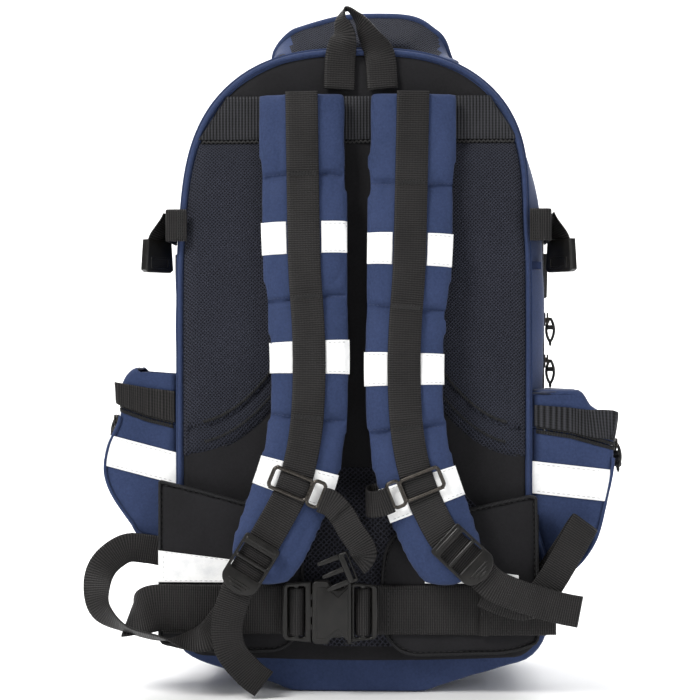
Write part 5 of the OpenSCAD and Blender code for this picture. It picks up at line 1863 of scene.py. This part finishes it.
def make_compression():
    parts = []
    for side in (LEFT, RIGHT):
        x_in, x_out = 133, 150
        z = ANCHOR_Z
        stations = [((side * x, Y_PANEL - 8.0 - 0.4 * math.sin((x - 133) / 6), z), (0, 0, 1)) for x in
                    np.linspace(x_in, x_out - 3, 8)]
        stations += [((side * (x_out - 0.9), Y_PANEL - 6.0, z), (0, 0, 1)),
                     ((side * (x_out - 0.9), Y_BACK - 2, z), (0, 0, 1)),
                     ((side * (x_out - 0.9), -10, z), (0, 0, 1)), ((side * (x_out - 0.9), 17, z), (0, 0, 1))]
        parts.append(ribbon("anchor", stations, WEB_W, WEBBING, WEB_T * 0.8, 1.5))
        for k in range(3):
            zig = [(side * (136.5 + k * 1.6 + (0.5 if i % 2 else -0.5)), Y_PANEL - 9.2, z - 10.5 + i * 1.16)
                   for i in range(19)]
            parts.append(tube("tack", zig, 0.4, THREAD, 5, 1.0))
    placed(joined("compression_anchors_sewn", parts), "root", "webbing", "compression_anchors")
    for side in (LEFT, RIGHT):
        name = SIDE_NAME[side]
        lo, hi = box_mm(f"compression_socket_{name}")
        yc = (lo[1] + hi[1]) / 2
        swing = side * SOCKET_TURN
        turn = at(side * 159, yc - 2, 341) @ Matrix.Rotation(math.pi / 2 + swing, 4, "Z") @ UPRIGHT
        rim = [(-13, 13), (-15, -11), (-12, -13), (12, -13), (15, -11), (13, 13)]
        body = plate("female", [rim], 7, PLASTIC, 1.5, turn)
        window = plate("female_rim",
                       [rounded_rect(-10, -10, 10, -1, 1.5), rounded_rect(-8, -8.4, 8, -2.6, 1)], 8.0,
                       PLASTIC, 0.5, turn)
        web_top = hi[2]
        web = []
        for t in np.linspace(0, 1, 9):
            a = swing * (1 - t)
            web.append(((side * (158 - 5.5 * smooth(t)), yc - 1.5 * (1 - t), 352 + (web_top - 352.5) * t),
                        (-math.sin(a), math.cos(a), 0)))
        web = ribbon("hang_web", web, WEB_W * 0.94, WEBBING, WEB_T * 0.8, 2.0)
        placed(joined(f"compression_socket_{name}_moulded", [body, window, web]), f"socket_{name}",
               "buckle_plastic", f"compression_socket_{name}")
    parts = []
    for side in (LEFT, RIGHT):
        lo, hi = box_mm("compression_plugs")
        x = side * (hi[0] - 3)
        y = 56
        turn = at(x, y, 330) @ QUARTER_Z @ UPRIGHT
        fork = [(-15, 16), (-15, 2), (-12, -12), (-9, -20), (-6, -20), (-7, -8), (-3, 0), (-3, -16),
                (3, -16), (3, 0),
                (7, -8), (6, -20), (9, -20), (12, -12), (15, 2), (15, 16)]
        parts.append(plate("male", [fork[::-1], rounded_rect(-12.8, 6, 12.8, 11, 1.5)], 4.4, PLASTIC,
                           1.0, turn))
        parts.append(ribbon("male_web",
                            [((x - side * 1.5, y, z), (0, 1, 0)) for z in np.linspace(341, hi[2] - 0.5, 8)],
                            WEB_W, WEBBING, WEB_T * 0.8, 2.0))
    placed(joined("compression_plugs_moulded", parts), "lid", "buckle_plastic", "compression_plugs")


# ------------------------------------------------------------------ haul loop and top handle
def make_haul_loop():
    y = Y_PANEL - 3.1
    stations = [((-14.5, y, 470), (1, 0, 0)), ((-13.5, y, 495), (1, 0, 0)),
                ((-10.5, y - 5, 511), (0.85, -0.5, 0)),
                ((-13, y - 5, 523), (0.5, -0.85, 0)), ((-9, y - 5, 531), (0.1, -0.99, 0)),
                ((-1, y - 7, 525), (0.4, -0.92, 0)), ((7, y - 8, 513), (0.8, -0.6, 0)),
                ((17, y, 496), (1, 0, 0)),
                ((19.5, y, 470), (1, 0, 0))]
    loop = ribbon("loop", stations, 24, WEBBING, WEB_T, 1.5, 0.6, 3,
                  lambda t: 1 - 0.42 * math.exp(-((t - 0.5) / 0.17) ** 2))
    placed(loop, "haul_loop", "webbing", "haul_loop")


HANDLE_TILT = math.radians(50)


def make_handle():
    """Padded grab handle sewn across the top of the pack: mesh faces, bound along both edges."""
    width, thick, y0 = 36, 8, -2
    foot = dome_z(70) + 1.5
    path = catmull([(-66, foot - 3), (-62, foot + 8), (-48, foot + 14.5), (-14, foot + 24), (12, foot + 25.5),
                    (38, foot + 24), (50, foot + 17), (64, foot + 6), (77, foot - 3)], 2.5)
    along = arc_lengths(path)
    section = []
    for i in range(28):
        a = 2 * math.pi * i / 28
        u = math.copysign(abs(math.cos(a)) ** 0.55, math.cos(a)) * width / 2
        v = math.copysign(abs(math.sin(a)) ** 0.75, math.sin(a)) * thick / 2
        section.append((u, v))
    verts, edges = [], {-1: [], 1: []}
    for i, (x, z) in enumerate(path):
        step = unit(path[min(i + 1, len(path) - 1)] - path[max(i - 1, 0)])
        rise = min(along[i], along[-1] - along[i], 30) / 30
        tilt = HANDLE_TILT * rise * rise * (3 - 2 * rise)
        across = np.array([-step[1] * math.sin(tilt), math.cos(tilt), step[0] * math.sin(tilt)])
        through = np.array([-step[1] * math.cos(tilt), -math.sin(tilt), step[0] * math.cos(tilt)])
        middle = np.array([x, y0, z])
        for u, v in section:
            pinch = 0.7 * noise.noise((x * 0.09, u * 0.08, 3.0))
            verts.append(tuple(middle + u * across + (v + pinch) * through))
        edges[-1].append(tuple(middle - (width / 2 - 0.8) * across))
        edges[1].append(tuple(middle + (width / 2 - 0.8) * across + 2.2 * through))
    faces = capped_faces(len(path), len(section))
    pad = fix_normals(new_object("handle_pad", verts, faces, MESH_FINE))
    pad.data.materials.append(NAVY)
    for face in pad.data.polygons:
        face.material_index = int(not -54 * MM < face.center.x < 64 * MM)
    parts = [pad, tube("handle_binding", edges[1], 3.0, NAVY, 12, 2.5),
             tube("handle_binding", edges[-1], 1.6, BINDING, 12, 2.5)]
    obj = joined("top_handle_padded", parts)
    placed(obj, "root", "navy_fabric", "top_handle")


# ------------------------------------------------------------------ front pocket
def make_front_pocket():
    x0, z0, z1 = 96, 70, 262
    y0, y1 = Y_FRONT + 0.0, Y_FRONT + 28
    base = resample(np.array(rounded_rect(-x0, z0, x0, z1, 16, 8), float), 180)
    depths = [(y0, 1.5)] + [(y, 0.0) for y in np.linspace(y0 + 3, y1 - 9, 6)]
    for i in range(1, 7):
        a = math.pi / 2 * i / 6
        depths.append((y1 - 9 + 8.7 * math.sin(a), 9 * (1 - math.cos(a))))
    rings = []
    middle = (base.min(0) + base.max(0)) / 2
    for y, inset in depths:
        shrink = (np.array([x0, (z1 - z0) / 2]) - inset) / np.array([x0, (z1 - z0) / 2])
        flat = middle + (base - middle) * shrink
        rings.append(np.column_stack([flat[:, 0], np.full(len(flat), y), flat[:, 1]]))
    last = rings[-1][:, [0, 2]]
    for flat in cap_rings(last, np.linspace(0.94, 0.04, 14)):
        rings.append(np.column_stack([flat[:, 0], np.full(len(flat), y1 - 0.3), flat[:, 1]]))
    verts = np.vstack(rings)
    count = len(base)
    for i, p in enumerate(verts):
        row = i // count
        if row > 0:
            fold = 1.5 * wrinkle(p[0], p[1], p[2], 42, 21)
            if row >= len(depths):
                p[1] -= fold
            else:
                out = unit(np.array([p[0] - middle[0], 0, p[2] - middle[1]]))
                p -= out * fold * 0.7
    faces = ring_faces(len(rings), count) + [last_ring(len(rings), count)]
    body = fix_normals(new_object("front_pocket_skin", verts, faces, NAVY))
    zip_y = y0 + 18.5
    line = [(x, zip_y, z1 + 0.1) for x in np.linspace(-82, 82, 60)]
    tape = ribbon("zip_tape", [(p, (0, 1, 0)) for p in line], 13, BINDING, 0.9, 3.0)
    teeth = zip_teeth("teeth", line, (0, 0, 1), 2.4, (2.4, 1.3, 1.2))
    placed(joined("front_pocket_fabric", [body, tape, teeth]), "lid", "navy_fabric", "front_pocket")
    turn = at(65.5, zip_y, z1 + 0.5)
    parts = [slider_mesh("slider", turn)]
    parts += cord_pull((67, zip_y, z1 + 4.4), (89, zip_y, z1 + 4.4), 2.4, (0, 0, 1), 1.0, 2)
    placed(joined("front_slider_cast", parts), "front_slider", "dark_metal", "front_slider")


# ------------------------------------------------------------------ inside
def dress_inside():
    """The frame sheet and the dividers keep their shape and take a surface."""
    for node, material in (("frame_sheet", SHEET), ("compartment_dividers", NAVY_LINING)):
        obj = bpy.data.objects[node]
        obj.data.materials.clear()
        obj.data.materials.append(material)


make_rear_shell()
make_front("lid_shell_fabric", ZIP_LOW_Z + 0.5, "front_shell", "lid", 5)
make_front("boot_fabric", -(ZIP_LOW_Z - 0.5), "boot", "root", 8)
make_back_panel()
make_piping()
make_yoke()
make_back_pads()
make_lumbar()
make_straps()
for side in (LEFT, RIGHT):
    make_ladder_lock(side)
    make_sternum_ring(side)
    make_wing(side)
    make_pocket(side)
make_sternum()
make_belt()
make_buckle()
make_root_tapes()
make_lower_straps()
make_strap_tails()
make_main_zips()
make_main_sliders()
make_compression()
make_haul_loop()
make_handle()
make_front_pocket()
dress_inside()
